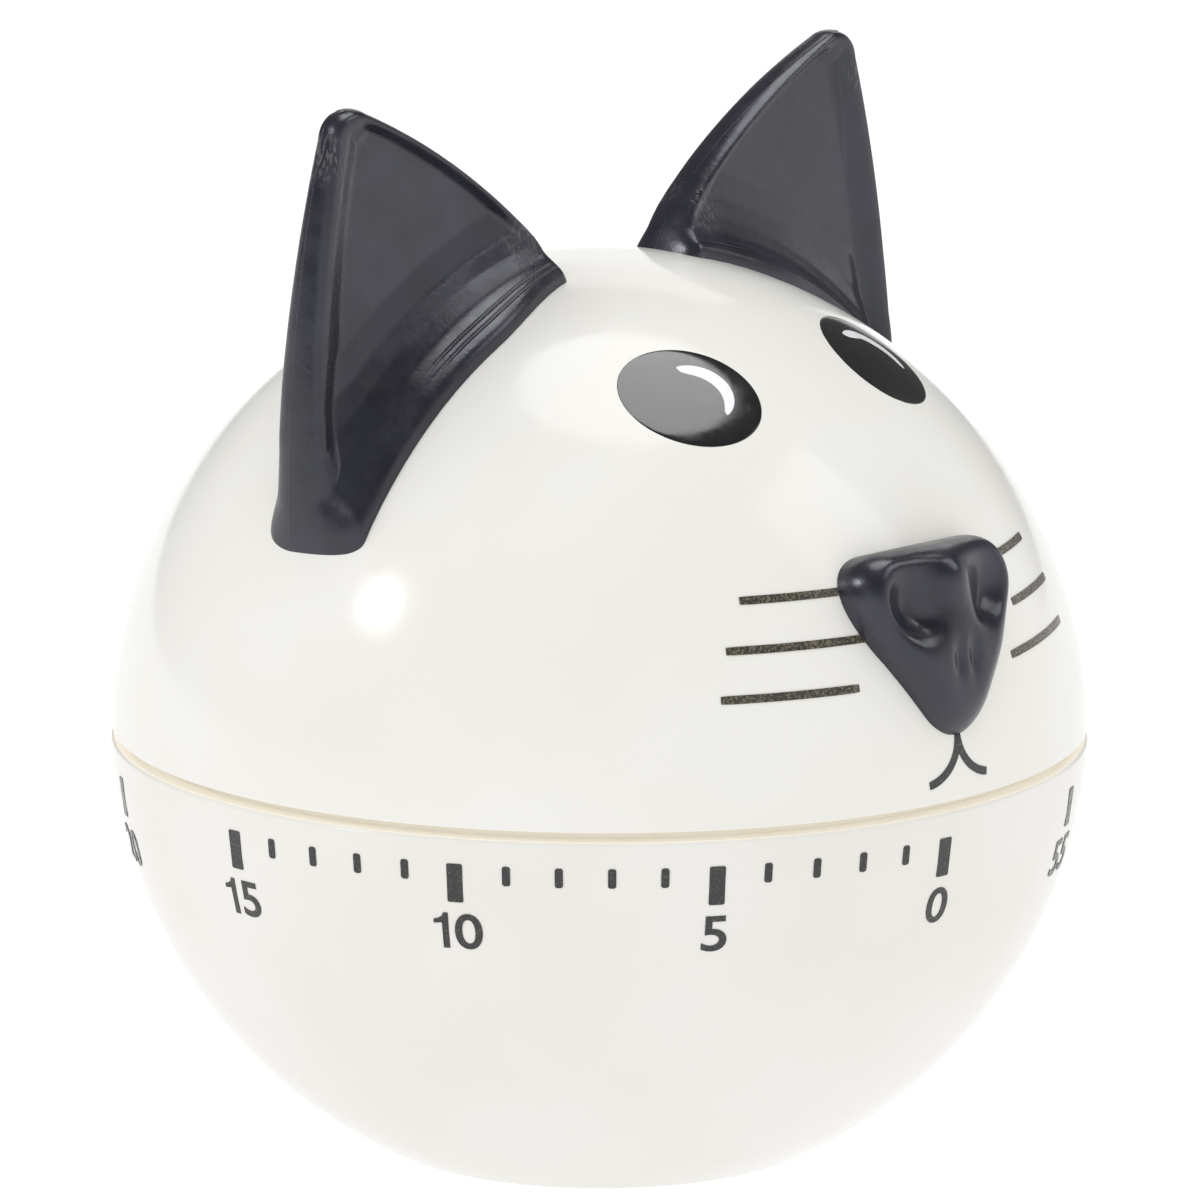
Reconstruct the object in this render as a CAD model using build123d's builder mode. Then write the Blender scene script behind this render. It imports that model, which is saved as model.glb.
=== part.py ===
from build123d import *

import os
from math import acos, atan2, cos, degrees, hypot, pi, radians, sin, sqrt

# Sixty-minute clockwork kitchen timer shaped like a cat's head.
# Millimetres. The origin is the centre of the flat underside, +Z runs up the turning
# axis, and the face looks towards -Y. One minute on the scale is six degrees.

# ---------------------------------------------------------------- driving sizes
head_radius = 31.0  # outside of the turning upper shell
head_centre_z = 26.2  # centre of that ball above the underside
base_radius = 31.1  # outside of the fixed lower shell
base_centre_z = 27.75
wall = 2.2
base_rim_z = 26.45  # ledge of the lower shell
head_rim_z = 27.1  # rim of the upper shell, one narrow gap above the ledge
spigot_radius = 29.6  # inner ring of the lower shell that guides the head
spigot_wall = 1.3
spigot_top_z = 29.3
head_rebate_radius = 29.9
head_rebate_top_z = 30.0
foot_rounding = 1.5

plate_radius = 21.5
plate_thickness = 1.0
lower_plate_z = 11.0
upper_plate_z = 26.0
between_low_z = lower_plate_z + plate_thickness
plate_top_z = upper_plate_z + plate_thickness
arbor_radius = 2.5
running_gap = 0.05
fitting_gap = 0.1
end_shake = 0.2

# Levels of the moving parts between the plates, from the bottom up.
spring_z = 12.6
spring_height = 4.2
great_wheel_z = 17.6
ratchet_z = 18.8
escape_wheel_z = 19.2
anchor_z = 20.3
second_wheel_z = 21.0
strike_wheel_z = 22.0
balance_z = 22.5
third_wheel_z = 23.4
cam_z = 24.6
stop_finger_z = 25.3
thin_wheel = 0.7

# The going train: sixty teeth drive eight, fifty-six drive eight, forty-eight drive eight.
leaves = 8
great_teeth, great_module = 60, 0.42
second_teeth, second_module = 56, 0.30
third_teeth, third_module = 48, 0.25
escape_teeth = 20
escape_radius = 5.2

# ---------------------------------------------------------------- small helpers


def ring_point(radius, angle):
    """The point at this radius and angle, in degrees, seen from above."""
    return (radius * cos(radians(angle)), radius * sin(radians(angle)))


def on_ball(radius, centre_z, z):
    """The point of a ball's section at this height, as (distance from the axis, height)."""
    return (sqrt(radius**2 - (z - centre_z) ** 2), z)


def level(axis, z):
    """A flat plane at this height, centred on an upright axis."""
    return Plane(origin=(axis[0], axis[1], z))


def polar_step(radius_a, radius_b, spacing):
    """Degrees between two axes on circles of these radii that stand this far apart."""
    return degrees(acos((radius_a**2 + radius_b**2 - spacing**2) / (2 * radius_a * radius_b)))


def heading(start, end):
    """Direction in degrees from one axis to another."""
    return degrees(atan2(end[1] - start[1], end[0] - start[0]))


def bar(start, end, width):
    """A round-ended bar between two points, drawn in the sketch that is open."""
    middle = ((start[0] + end[0]) / 2, (start[1] + end[1]) / 2)
    with Locations(middle):
        SlotCenterToCenter(
            hypot(end[0] - start[0], end[1] - start[1]), width, rotation=heading(start, end)
        )


def centre_distance(teeth, module):
    """Spacing of a wheel and the eight-leaf pinion that it drives."""
    return (teeth + leaves) * module / 2


def wheel_outline(teeth, module, first_tooth):
    """Clock-wheel teeth: radial flanks, then epicycloid tips that suit radial pinion leaves."""
    pitch_radius = teeth * module / 2
    rolling = leaves * module / 4
    half_tooth = 0.42 * pi / teeth
    root = pitch_radius - 1.35 * module
    turn = 0.8 * sqrt(4 * module * rolling * 1.05 / (pitch_radius * (pitch_radius + rolling)))
    tip = []
    for step in (1, 2, 3):
        roll = turn * step / 3
        x = (pitch_radius + rolling) * cos(roll)
        x -= rolling * cos((pitch_radius + rolling) / rolling * roll)
        y = (pitch_radius + rolling) * sin(roll)
        y -= rolling * sin((pitch_radius + rolling) / rolling * roll)
        tip.append((hypot(x, y), half_tooth - atan2(y, x)))
    side = [(root, half_tooth), (pitch_radius, half_tooth)] + tip
    points = []
    for tooth in range(teeth):
        middle = radians(first_tooth) + tooth * 2 * pi / teeth
        for radius, half in side:
            points.append((radius * cos(middle - half), radius * sin(middle - half)))
        for radius, half in reversed(side):
            points.append((radius * cos(middle + half), radius * sin(middle + half)))
    return points


def pinion_outline(module, first_leaf):
    """Eight slim radial leaves with rounded ends."""
    pitch_radius = leaves * module / 2
    half_leaf = 0.32 * pi / leaves
    shoulder = pitch_radius + 0.4 * module
    crown = pitch_radius + 0.5 * module
    root = pitch_radius - 1.55 * module
    shape = [(root, -1), (pitch_radius, -1), (shoulder, -0.5), (crown, 0)]
    shape += [(shoulder, 0.5), (pitch_radius, 1), (root, 1)]
    points = []
    for leaf in range(leaves):
        middle = radians(first_leaf) + leaf * 2 * pi / leaves
        for radius, share in shape:
            angle = middle + share * half_leaf
            points.append((radius * cos(angle), radius * sin(angle)))
    return points


def saw_outline(teeth, root_radius, tip_radius, lean, first_tooth):
    """Pointed teeth whose tips lean round by this share of a pitch."""
    points = []
    for tooth in range(teeth):
        start = first_tooth + tooth * 360 / teeth
        points.append(ring_point(root_radius, start))
        points.append(ring_point(tip_radius, start + lean * 360 / teeth))
    return points


# ---------------------------------------------------------------- axes of the movement
centre = (0.0, 0.0)
second_ring = centre_distance(great_teeth, great_module)
second_angle = 200.0
third_ring = 15.0
escape_ring = 14.5
balance_ring = 14.0
escape_to_balance = 8.0
strike_angle = second_angle - 138.0
third_angle = second_angle + polar_step(
    second_ring, third_ring, centre_distance(second_teeth, second_module)
)
escape_angle = third_angle + polar_step(
    third_ring, escape_ring, centre_distance(third_teeth, third_module)
)
balance_angle = escape_angle + polar_step(escape_ring, balance_ring, escape_to_balance)
second_axis = ring_point(second_ring, second_angle)
third_axis = ring_point(third_ring, third_angle)
escape_axis = ring_point(escape_ring, escape_angle)
balance_axis = ring_point(balance_ring, balance_angle)
strike_axis = ring_point(second_ring, strike_angle)
hammer_ring = 14.4
hammer_axis = ring_point(hammer_ring, 90.0)
trip_axis = ring_point(13.4, 135.0)
pillar_axes = [ring_point(19.2, angle) for angle in (345.0, 110.0, 160.0)]
screw_axes = [ring_point(9.5, angle) for angle in (90.0, 210.0, 330.0)]
spring_strip = 0.35
spring_inner = arbor_radius + 0.35
spring_outer = 11.4
spring_half_turns = 12
spring_step = (spring_outer - spring_inner) / spring_half_turns
spring_post_radius = 0.6
spring_post_axis = (spring_outer + spring_strip / 2 + spring_post_radius, 0.0)
stop_pin_axis = ring_point(11.2, 90.0)
pivot_radius = 0.45

# ---------------------------------------------------------------- lower shell
# The cup that stands on the worktop. Its flat underside is the object's foot. A thin
# spigot ring rises inside the rim and guides the head, and three bosses carry the works.
base_outer_rim = on_ball(base_radius, base_centre_z, base_rim_z)
base_foot = on_ball(base_radius, base_centre_z, 0.0)
base_inner_floor = on_ball(base_radius - wall, base_centre_z, wall)
spigot_inner = spigot_radius - spigot_wall
spigot_foot_z = base_centre_z - sqrt((base_radius - wall) ** 2 - spigot_inner**2)
boss_radius = 3.2
screw_hole_radius = 1.2
screw_head_radius = 2.2
screw_sink = 1.6
with BuildPart() as base_shell:
    with BuildSketch(Plane.XZ):
        with BuildLine():
            Line((0, 0), base_foot)
            ThreePointArc(base_foot, on_ball(base_radius, base_centre_z, 12.0), base_outer_rim)
            Polyline(
                base_outer_rim,
                (spigot_radius, base_rim_z),
                (spigot_radius, spigot_top_z),
                (spigot_inner, spigot_top_z),
                (spigot_inner, spigot_foot_z),
            )
            ThreePointArc(
                (spigot_inner, spigot_foot_z),
                on_ball(base_radius - wall, base_centre_z, 10.0),
                base_inner_floor,
            )
            Polyline(base_inner_floor, (0, wall), (0, 0))
        make_face()
    revolve(axis=Axis.Z)
    fillet(base_shell.edges().filter_by(GeomType.CIRCLE).sort_by(Axis.Z)[0], foot_rounding)
    outer_rim_edge = base_shell.edges().filter_by(GeomType.CIRCLE).group_by(Axis.Z)[-2].sort_by(
        SortBy.RADIUS
    )[-1]
    fillet(outer_rim_edge, 0.25)
    with BuildSketch(Plane.XY.offset(wall - 0.5)):
        with Locations(*screw_axes):
            Circle(boss_radius)
    extrude(amount=lower_plate_z - wall + 0.5)
    with BuildSketch(Plane.XY):
        with Locations(*screw_axes):
            Circle(screw_hole_radius)
    extrude(amount=lower_plate_z, mode=Mode.SUBTRACT)
    with BuildSketch(Plane.XY):
        with Locations(*screw_axes):
            Circle(screw_head_radius + fitting_gap)
    extrude(amount=screw_sink, mode=Mode.SUBTRACT)

# ---------------------------------------------------------------- upper shell
# The dome that is turned to wind the timer. A ribbed hub under the crown grips the
# main arbor. Slots take the tabs of the ears, and two holes take the pegs of the nose.
head_inner_radius = head_radius - wall
hub_low_z = 43.0
hub_hole_top_z = 51.0
hub_radius = 5.5
rib_length = 15.0
rib_thickness = 1.2
rib_low_z = 46.0
arbor_flat = 1.9  # distance of the arbor's driving flat from its axis
ear_tab_angles = (41.0, 64.0)  # height of each tab round the side of the ball, in degrees
ear_tab_width = 4.5
ear_tab_thickness = 1.8
nose_angle = 19.5
nose_peg_radius = 1.2
nose_peg_places = [(-2.4, 1.4), (2.4, 1.4)]

nose_direction = (0, -cos(radians(nose_angle)), sin(radians(nose_angle)))
nose_plane = Plane(
    origin=(0, head_radius * nose_direction[1], head_centre_z + head_radius * nose_direction[2]),
    x_dir=(1, 0, 0),
    z_dir=nose_direction,
)


def ear_tab_plane(side, angle):
    """The plane inside the dome where an ear's tab ends, facing outwards."""
    outward = (side * cos(radians(angle)), 0, sin(radians(angle)))
    reach = head_inner_radius - 1.0
    return Plane(
        origin=(reach * outward[0], 0, head_centre_z + reach * outward[2]),
        x_dir=(0, 1, 0),
        z_dir=outward,
    )


with BuildPart() as hub:
    with BuildSketch(Plane.XY.offset(hub_low_z)):
        Circle(hub_radius)
    extrude(amount=14.0)
    with BuildSketch(Plane.XY.offset(rib_low_z)):
        Rectangle(2 * rib_length, rib_thickness)
        Rectangle(rib_thickness, 2 * rib_length)
    extrude(amount=11.0)
    with Locations((0, 0, head_centre_z)):
        Sphere(head_inner_radius + wall / 2, mode=Mode.INTERSECT)

with BuildPart() as head_shell:
    with BuildSketch(Plane.XZ):
        with BuildLine():
            rim_outside = on_ball(head_radius, head_centre_z, head_rim_z)
            rebate_inside = on_ball(head_inner_radius, head_centre_z, head_rebate_top_z)
            crown_z = head_centre_z + head_radius
            ThreePointArc(rim_outside, on_ball(head_radius, head_centre_z, 48.0), (0, crown_z))
            Line((0, crown_z), (0, crown_z - wall))
            ThreePointArc(
                (0, crown_z - wall),
                on_ball(head_inner_radius, head_centre_z, 47.0),
                rebate_inside,
            )
            Polyline(
                rebate_inside,
                (head_rebate_radius, head_rebate_top_z),
                (head_rebate_radius, head_rim_z),
                rim_outside,
            )
        make_face()
    revolve(axis=Axis.Z)
    add(hub.part)
    with BuildSketch(Plane.XY.offset(hub_low_z)):
        Circle(arbor_radius + 0.02)
        with Locations((arbor_flat + 5.0 + 0.02, 0)):
            Rectangle(10.0, 20.0, mode=Mode.SUBTRACT)
    extrude(amount=hub_hole_top_z - hub_low_z, mode=Mode.SUBTRACT)
    for side in (-1, 1):
        for angle in ear_tab_angles:
            with BuildSketch(ear_tab_plane(side, angle)):
                Rectangle(ear_tab_thickness + fitting_gap, ear_tab_width + fitting_gap)
            extrude(amount=wall + 3.0, mode=Mode.SUBTRACT)
    with BuildSketch(nose_plane.offset(-wall - 1.5)):
        with Locations(*nose_peg_places):
            Circle(nose_peg_radius + fitting_gap / 2)
    extrude(amount=wall + 3.0, mode=Mode.SUBTRACT)

# ---------------------------------------------------------------- ears
# Each ear is a thick plate that faces forwards. Its section is turned about the ball's
# own fore-and-aft axis, so the foot flares evenly onto the ball, and its front is a
# shallow dish inside a raised rim.
ear_face_plane = Plane(origin=(0, 0, head_centre_z), x_dir=(1, 0, 0), z_dir=(0, -1, 0))
ear_section_plane = Plane(origin=(0, 0, head_centre_z), x_dir=(0, 0, 1), z_dir=(-1, 0, 0))
ear_axis = Axis((0, 0, head_centre_z), (0, 1, 0))
ear_rim = 1.3
dish_depth = 0.55
ear_reach = 52.0  # past the tip, measured from the ball's centre
ear_root_front = (29.8, -4.1)
ear_flare_middle = (33.0, -1.9)
ear_flare_end = (38.0, -0.9)
ear_top_front = (ear_reach, 0.1)
ear_top_back = (ear_reach, 1.5)
ear_back_flare_end = (37.0, 2.7)
ear_back_flare_middle = (32.8, 3.0)
ear_root_back = (29.8, 3.8)
ear_outer_foot = (27.2, 14.0)
ear_outer_middle = (25.7, 29.0)
ear_outer_top = (23.9, 41.4)
ear_tip = (23.1, 42.65)
ear_inner_top = (21.6, 42.85)
ear_inner_middle = (12.4, 38.4)
ear_inner_foot = (4.2, 30.9)
ear_hidden_corner = (8.0, 14.0)
ear_half_depth = 8.0
dish_start = (34.6, -2.0)
dish_start_middle = (36.2, -1.05)
dish_clear = -6.0

with BuildPart() as right_ear:
    with BuildSketch(ear_section_plane):
        with BuildLine():
            ThreePointArc(ear_root_front, ear_flare_middle, ear_flare_end)
            Polyline(ear_flare_end, ear_top_front, ear_top_back, ear_back_flare_end)
            ThreePointArc(ear_back_flare_end, ear_back_flare_middle, ear_root_back)
            Line(ear_root_back, ear_root_front)
        make_face()
    revolve(axis=ear_axis)
    with BuildSketch(ear_face_plane) as ear_outline:
        with BuildLine():
            ThreePointArc(ear_outer_foot, ear_outer_middle, ear_outer_top)
            ThreePointArc(ear_outer_top, ear_tip, ear_inner_top)
            ThreePointArc(ear_inner_top, ear_inner_middle, ear_inner_foot)
            Polyline(ear_inner_foot, ear_hidden_corner, ear_outer_foot)
        make_face()
    extrude(amount=ear_half_depth, both=True, mode=Mode.INTERSECT)
    with Locations((0, 0, head_centre_z)):
        Sphere(head_radius, mode=Mode.SUBTRACT)

with BuildPart() as ear_dish:
    with BuildSketch(ear_section_plane):
        with BuildLine():
            dish_top = (ear_reach, ear_top_front[1] + dish_depth)
            dish_floor = (ear_flare_end[0], ear_flare_end[1] + dish_depth)
            Polyline(
                dish_start,
                (dish_start[0], dish_clear),
                (ear_reach, dish_clear),
                dish_top,
                dish_floor,
            )
            ThreePointArc(dish_floor, dish_start_middle, dish_start)
        make_face()
    revolve(axis=ear_axis)
    with BuildSketch(ear_face_plane):
        add(ear_outline.sketch.faces())
        offset(amount=-ear_rim, mode=Mode.REPLACE)
    extrude(amount=ear_half_depth, both=True, mode=Mode.INTERSECT)

with BuildPart() as right_ear_finished:
    add(right_ear.part)
    add(ear_dish.part, mode=Mode.SUBTRACT)
    for angle in ear_tab_angles:
        with BuildSketch(ear_tab_plane(1, angle)):
            Rectangle(ear_tab_thickness, ear_tab_width)
        extrude(amount=wall + 2.5)

with BuildPart() as left_ear:
    add(right_ear_finished.part.mirror(Plane.YZ))

# ---------------------------------------------------------------- nose
# A rounded triangle, broad side up, whose front bulges at the top and slopes back towards
# the chin. Two pegs at the back go into the dome.
nose_half_width = 8.7
nose_brow = 6.1
nose_chin = -8.0
nose_brow_rounding = 2.6
nose_chin_rounding = 2.7
nose_front_chin = (-7.5, -0.2)
nose_front_middle = (0.0, 2.4)
nose_front_brow = (7.5, 2.2)
nose_clear = 6.0
nose_root = 3.0
nose_edge_rounding = 0.9
nose_outward = Axis(nose_plane.origin, nose_plane.z_dir)
nose_side_plane = Plane(
    origin=nose_plane.origin, x_dir=nose_plane.y_dir, z_dir=nose_plane.x_dir
)
with BuildPart() as nose:
    with BuildSketch(nose_plane.offset(-nose_root)):
        with BuildLine():
            Polyline(
                (-nose_half_width, nose_brow),
                (nose_half_width, nose_brow),
                (0, nose_chin),
                close=True,
            )
        make_face()
        fillet(vertices().group_by(Axis.Y)[-1], nose_brow_rounding)
        fillet(vertices().group_by(Axis.Y)[0], nose_chin_rounding)
    extrude(amount=nose_root + nose_clear)
    with BuildSketch(nose_side_plane):
        with BuildLine():
            ThreePointArc(nose_front_chin, nose_front_middle, nose_front_brow)
            Polyline(
                nose_front_brow,
                (nose_front_brow[0], 2 * nose_clear),
                (nose_front_chin[0], 2 * nose_clear),
                nose_front_chin,
            )
        make_face()
    extrude(amount=2 * nose_half_width, both=True, mode=Mode.SUBTRACT)
    fillet(nose.faces().sort_by(nose_outward)[-1].edges(), nose_edge_rounding)
    with Locations((0, 0, head_centre_z)):
        Sphere(head_radius, mode=Mode.SUBTRACT)
    with BuildSketch(nose_plane.offset(-wall - 1.0)):
        with Locations(*nose_peg_places):
            Circle(nose_peg_radius)
    extrude(amount=wall + 2.0)

# ---------------------------------------------------------------- plates and pillars
# Two steel plates, three riveted pillars and hexagon nuts make the frame of the works.
# Every pivot runs in a hole of each plate, and the main arbor runs in two brass bushes.
lower_bush_radius = 3.0
main_pivot_radius = 1.5
centre_bush_radius = 4.0
pillar_radius = 1.6
stud_radius = 1.0
nut_height = 1.5
nut_radius = 1.9
train_axes = [second_axis, third_axis, escape_axis, balance_axis, strike_axis, hammer_axis]
plate_window_angle = 20.0
plate_window_ring = 14.0
plate_window_radius = 3.2
hammer_body_radius = 0.8
trip_post_radius = 0.6
pin_radius = 0.3

with BuildPart() as lower_plate:
    with BuildSketch(Plane.XY.offset(lower_plate_z)):
        Circle(plate_radius)
        Circle(lower_bush_radius, mode=Mode.SUBTRACT)
        with Locations(*train_axes):
            Circle(pivot_radius + running_gap, mode=Mode.SUBTRACT)
        with Locations(*pillar_axes):
            Circle(stud_radius, mode=Mode.SUBTRACT)
        with Locations(*screw_axes):
            Circle(screw_hole_radius, mode=Mode.SUBTRACT)
        with Locations(spring_post_axis):
            Circle(spring_post_radius, mode=Mode.SUBTRACT)
    extrude(amount=plate_thickness)

with BuildPart() as upper_plate:
    with BuildSketch(Plane.XY.offset(upper_plate_z)):
        Circle(plate_radius)
        Circle(centre_bush_radius, mode=Mode.SUBTRACT)
        with Locations(*train_axes[:-1]):
            Circle(pivot_radius + running_gap, mode=Mode.SUBTRACT)
        with Locations(hammer_axis):
            Circle(hammer_body_radius + running_gap, mode=Mode.SUBTRACT)
        with Locations(*pillar_axes):
            Circle(stud_radius, mode=Mode.SUBTRACT)
        with Locations(trip_axis):
            Circle(trip_post_radius, mode=Mode.SUBTRACT)
        with Locations(stop_pin_axis):
            Circle(pin_radius, mode=Mode.SUBTRACT)
        with Locations(ring_point(plate_window_ring, plate_window_angle)):
            Circle(plate_window_radius, mode=Mode.SUBTRACT)
    extrude(amount=plate_thickness)

pillars = []
for pillar_axis in pillar_axes:
    with BuildPart() as pillar:
        with BuildSketch(level(pillar_axis, lower_plate_z)):
            Circle(stud_radius)
        extrude(amount=upper_plate_z + plate_thickness + nut_height + 0.5 - lower_plate_z)
        with BuildSketch(level(pillar_axis, between_low_z)):
            Circle(pillar_radius)
        extrude(amount=upper_plate_z - between_low_z)
    pillars.append(pillar)

with BuildPart() as pillar_nuts:
    with BuildSketch(Plane.XY.offset(plate_top_z)):
        with Locations(*pillar_axes):
            RegularPolygon(nut_radius, 6)
            Circle(stud_radius, mode=Mode.SUBTRACT)
    extrude(amount=nut_height)

screw_head_z = 0.3
screw_slot_length = 2.4
screw_slot_width = 0.5
screw_slot_depth = 0.7
with BuildPart() as base_screws:
    with BuildSketch(Plane.XY.offset(screw_head_z)):
        with Locations(*screw_axes):
            Circle(screw_head_radius)
    extrude(amount=screw_sink - screw_head_z)
    with BuildSketch(Plane.XY.offset(screw_sink)):
        with Locations(*screw_axes):
            Circle(screw_hole_radius)
    extrude(amount=between_low_z - screw_sink)
    with BuildSketch(Plane.XY.offset(screw_head_z)):
        with Locations(*screw_axes):
            Rectangle(screw_slot_length, screw_slot_width)
            Rectangle(screw_slot_width, screw_slot_length)
    extrude(amount=screw_slot_depth, mode=Mode.SUBTRACT)

with BuildPart() as lower_bush:
    with BuildSketch(Plane.XY.offset(lower_plate_z)):
        Circle(lower_bush_radius)
        Circle(main_pivot_radius + running_gap, mode=Mode.SUBTRACT)
    extrude(amount=plate_thickness)

with BuildPart() as centre_bush:
    with BuildSketch(Plane.XY.offset(upper_plate_z)):
        Circle(centre_bush_radius)
        Circle(arbor_radius + running_gap, mode=Mode.SUBTRACT)
    extrude(amount=plate_thickness)

# ---------------------------------------------------------------- main arbor and mainspring
# The head turns the arbor, which winds the spring. The spring's outer end hooks on a post.
arbor_top_z = 50.5
arbor_end_chamfer = 0.4
with BuildPart() as main_arbor:
    with BuildSketch(Plane.XY.offset(lower_plate_z)):
        Circle(main_pivot_radius)
    extrude(amount=between_low_z - lower_plate_z + end_shake)
    with BuildSketch(Plane.XY.offset(between_low_z + end_shake)):
        Circle(arbor_radius)
    extrude(amount=arbor_top_z - between_low_z - end_shake)
    with BuildSketch(Plane.XY.offset(hub_low_z)):
        with Locations((arbor_flat + 5.0, 0)):
            Rectangle(10.0, 20.0)
    extrude(amount=arbor_top_z - hub_low_z, mode=Mode.SUBTRACT)
    chamfer(main_arbor.edges().sort_by(Axis.Z)[-2:], arbor_end_chamfer)

with BuildPart() as mainspring:
    with BuildSketch(Plane.XY.offset(spring_z)):
        with BuildLine():
            start = spring_inner
            for half_turn in range(spring_half_turns):
                end = start + spring_step
                side = 1 if half_turn % 2 == 0 else -1
                radius = (start + end) / 2
                middle = (start - end) / 2
                ThreePointArc(
                    (start * side, 0), (middle * side, radius * side), (-end * side, 0)
                )
                start = end
        trace(line_width=spring_strip)
    extrude(amount=spring_height)

with BuildPart() as spring_post:
    with BuildSketch(level(spring_post_axis, lower_plate_z)):
        Circle(spring_post_radius)
    extrude(amount=spring_z + spring_height + 0.3 - lower_plate_z)

# ---------------------------------------------------------------- great wheel, ratchet and click
# The arbor's ratchet wheel pushes the click, which is pivoted on the great wheel, so the
# spring drives the train one way and winding slips past it.
great_wheel_thickness = 1.0
ratchet_thickness = 0.8
ratchet_teeth = 12
click_axis = ring_point(7.4, 62.0)
click_post_radius = 0.7
click_tip = ring_point(5.3, 32.5)
click_hub_radius = 1.25
click_spring_foot = ring_point(7.9, 8.0)
click_spring_end = ring_point(6.9, 36.0)
click_spring_strip = 0.3
click_spring_boss_radius = 0.6
with BuildPart() as great_wheel:
    with BuildSketch(Plane.XY.offset(great_wheel_z)):
        with BuildLine():
            Polyline(*wheel_outline(great_teeth, great_module, second_angle), close=True)
        make_face()
        Circle(arbor_radius + running_gap, mode=Mode.SUBTRACT)
        with PolarLocations(8.4, 5, start_angle=98.0):
            Circle(2.3, mode=Mode.SUBTRACT)
        with Locations(click_axis):
            Circle(click_post_radius, mode=Mode.SUBTRACT)
    extrude(amount=great_wheel_thickness)

with BuildPart() as ratchet_wheel:
    with BuildSketch(Plane.XY.offset(ratchet_z)):
        with BuildLine():
            Polyline(*saw_outline(ratchet_teeth, 4.4, 5.3, 0.9, 0.0), close=True)
        make_face()
        Circle(arbor_radius, mode=Mode.SUBTRACT)
    extrude(amount=ratchet_thickness)

with BuildPart() as click_post:
    with BuildSketch(level(click_axis, great_wheel_z)):
        Circle(click_post_radius)
    extrude(amount=ratchet_z + ratchet_thickness + end_shake - great_wheel_z)
    with BuildSketch(level(click_axis, ratchet_z + ratchet_thickness + end_shake)):
        Circle(1.1)
    extrude(amount=0.4)

with BuildPart() as click:
    with BuildSketch(Plane.XY.offset(ratchet_z)):
        with Locations(click_axis):
            Circle(click_hub_radius)
        bar(click_axis, click_tip, 1.0)
        with Locations(click_axis):
            Circle(click_post_radius + running_gap, mode=Mode.SUBTRACT)
    extrude(amount=ratchet_thickness)

with BuildPart() as click_spring:
    with BuildSketch(Plane.XY.offset(great_wheel_z + great_wheel_thickness)):
        with Locations(click_spring_foot):
            Circle(click_spring_boss_radius)
    extrude(amount=ratchet_thickness)
    with BuildSketch(Plane.XY.offset(ratchet_z)):
        bar(click_spring_foot, click_spring_end, click_spring_strip)
    extrude(amount=ratchet_thickness - 0.2)

# ---------------------------------------------------------------- going train
# Each arbor carries an eight-leaf pinion and a brass wheel pressed onto it.
leaf_height = 1.8


def pinion_arbor(axis, module, first_leaf, leaf_z, body_radius):
    """A steel arbor with a pivot at each end and leaves cut from the solid."""
    with BuildPart() as arbor:
        with BuildSketch(level(axis, lower_plate_z)):
            Circle(pivot_radius)
        extrude(amount=plate_top_z - lower_plate_z)
        with BuildSketch(level(axis, between_low_z + end_shake)):
            Circle(body_radius)
        extrude(amount=upper_plate_z - between_low_z - 2 * end_shake)
        with BuildSketch(level(axis, leaf_z)):
            with BuildLine():
                Polyline(*pinion_outline(module, first_leaf), close=True)
            make_face()
        extrude(amount=leaf_height)
    return arbor


def train_wheel(axis, teeth, module, first_tooth, wheel_z, bore, opening_radius):
    """A thin brass wheel, crossed out with five round openings."""
    with BuildPart() as wheel:
        with BuildSketch(level(axis, wheel_z)):
            with BuildLine():
                Polyline(*wheel_outline(teeth, module, first_tooth), close=True)
            make_face()
            Circle(bore, mode=Mode.SUBTRACT)
            with PolarLocations(0.56 * teeth * module / 2, 5):
                Circle(opening_radius, mode=Mode.SUBTRACT)
        extrude(amount=thin_wheel)
    return wheel


half_leaf_pitch = 180.0 / leaves
second_to_third = heading(second_axis, third_axis)
third_to_escape = heading(third_axis, escape_axis)
escape_to_pallets = heading(escape_axis, balance_axis)
second_arbor = pinion_arbor(
    second_axis, great_module, second_angle + 180 + half_leaf_pitch, great_wheel_z - 0.4, 0.7
)
second_wheel = train_wheel(
    second_axis, second_teeth, second_module, second_to_third, second_wheel_z, 0.7, 1.7
)
third_arbor = pinion_arbor(
    third_axis, second_module, second_to_third + 180 + half_leaf_pitch, second_wheel_z - 0.5, 0.6
)
third_wheel = train_wheel(
    third_axis, third_teeth, third_module, third_to_escape, third_wheel_z, 0.6, 1.2
)
escape_arbor = pinion_arbor(
    escape_axis, third_module, third_to_escape + 180 + half_leaf_pitch, third_wheel_z - 0.5, 0.55
)

with BuildPart() as escape_wheel:
    with BuildSketch(level(escape_axis, escape_wheel_z)):
        with BuildLine():
            Polyline(*saw_outline(escape_teeth, 4.3, escape_radius, 0.75, 0.0), close=True)
        make_face()
        Circle(0.55, mode=Mode.SUBTRACT)
        with PolarLocations(2.5, 4):
            Circle(1.0, mode=Mode.SUBTRACT)
    extrude(amount=thin_wheel)

# ---------------------------------------------------------------- escapement
# Two pins under the anchor let the escape wheel past tooth by tooth while the weighted
# bar rocks. The pins stand just outside the wheel's tips.
pallet_ring = escape_radius + 0.8
half_pallet_span = 2.5 * 360 / escape_teeth / 2
balance_arm = 6.0
balance_arbor_radius = 0.6
anchor_thickness = 0.6
balance_thickness = 0.8
balance_weight_radius = 1.5
pallet_pin_axes = []
for side in (-1, 1):
    offset_x, offset_y = ring_point(pallet_ring, escape_to_pallets + side * half_pallet_span)
    pallet_pin_axes.append((escape_axis[0] + offset_x, escape_axis[1] + offset_y))
weight_axes = []
for side in (-1, 1):
    offset_x, offset_y = ring_point(balance_arm, escape_to_pallets + side * 90)
    weight_axes.append((balance_axis[0] + offset_x, balance_axis[1] + offset_y))

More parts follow.
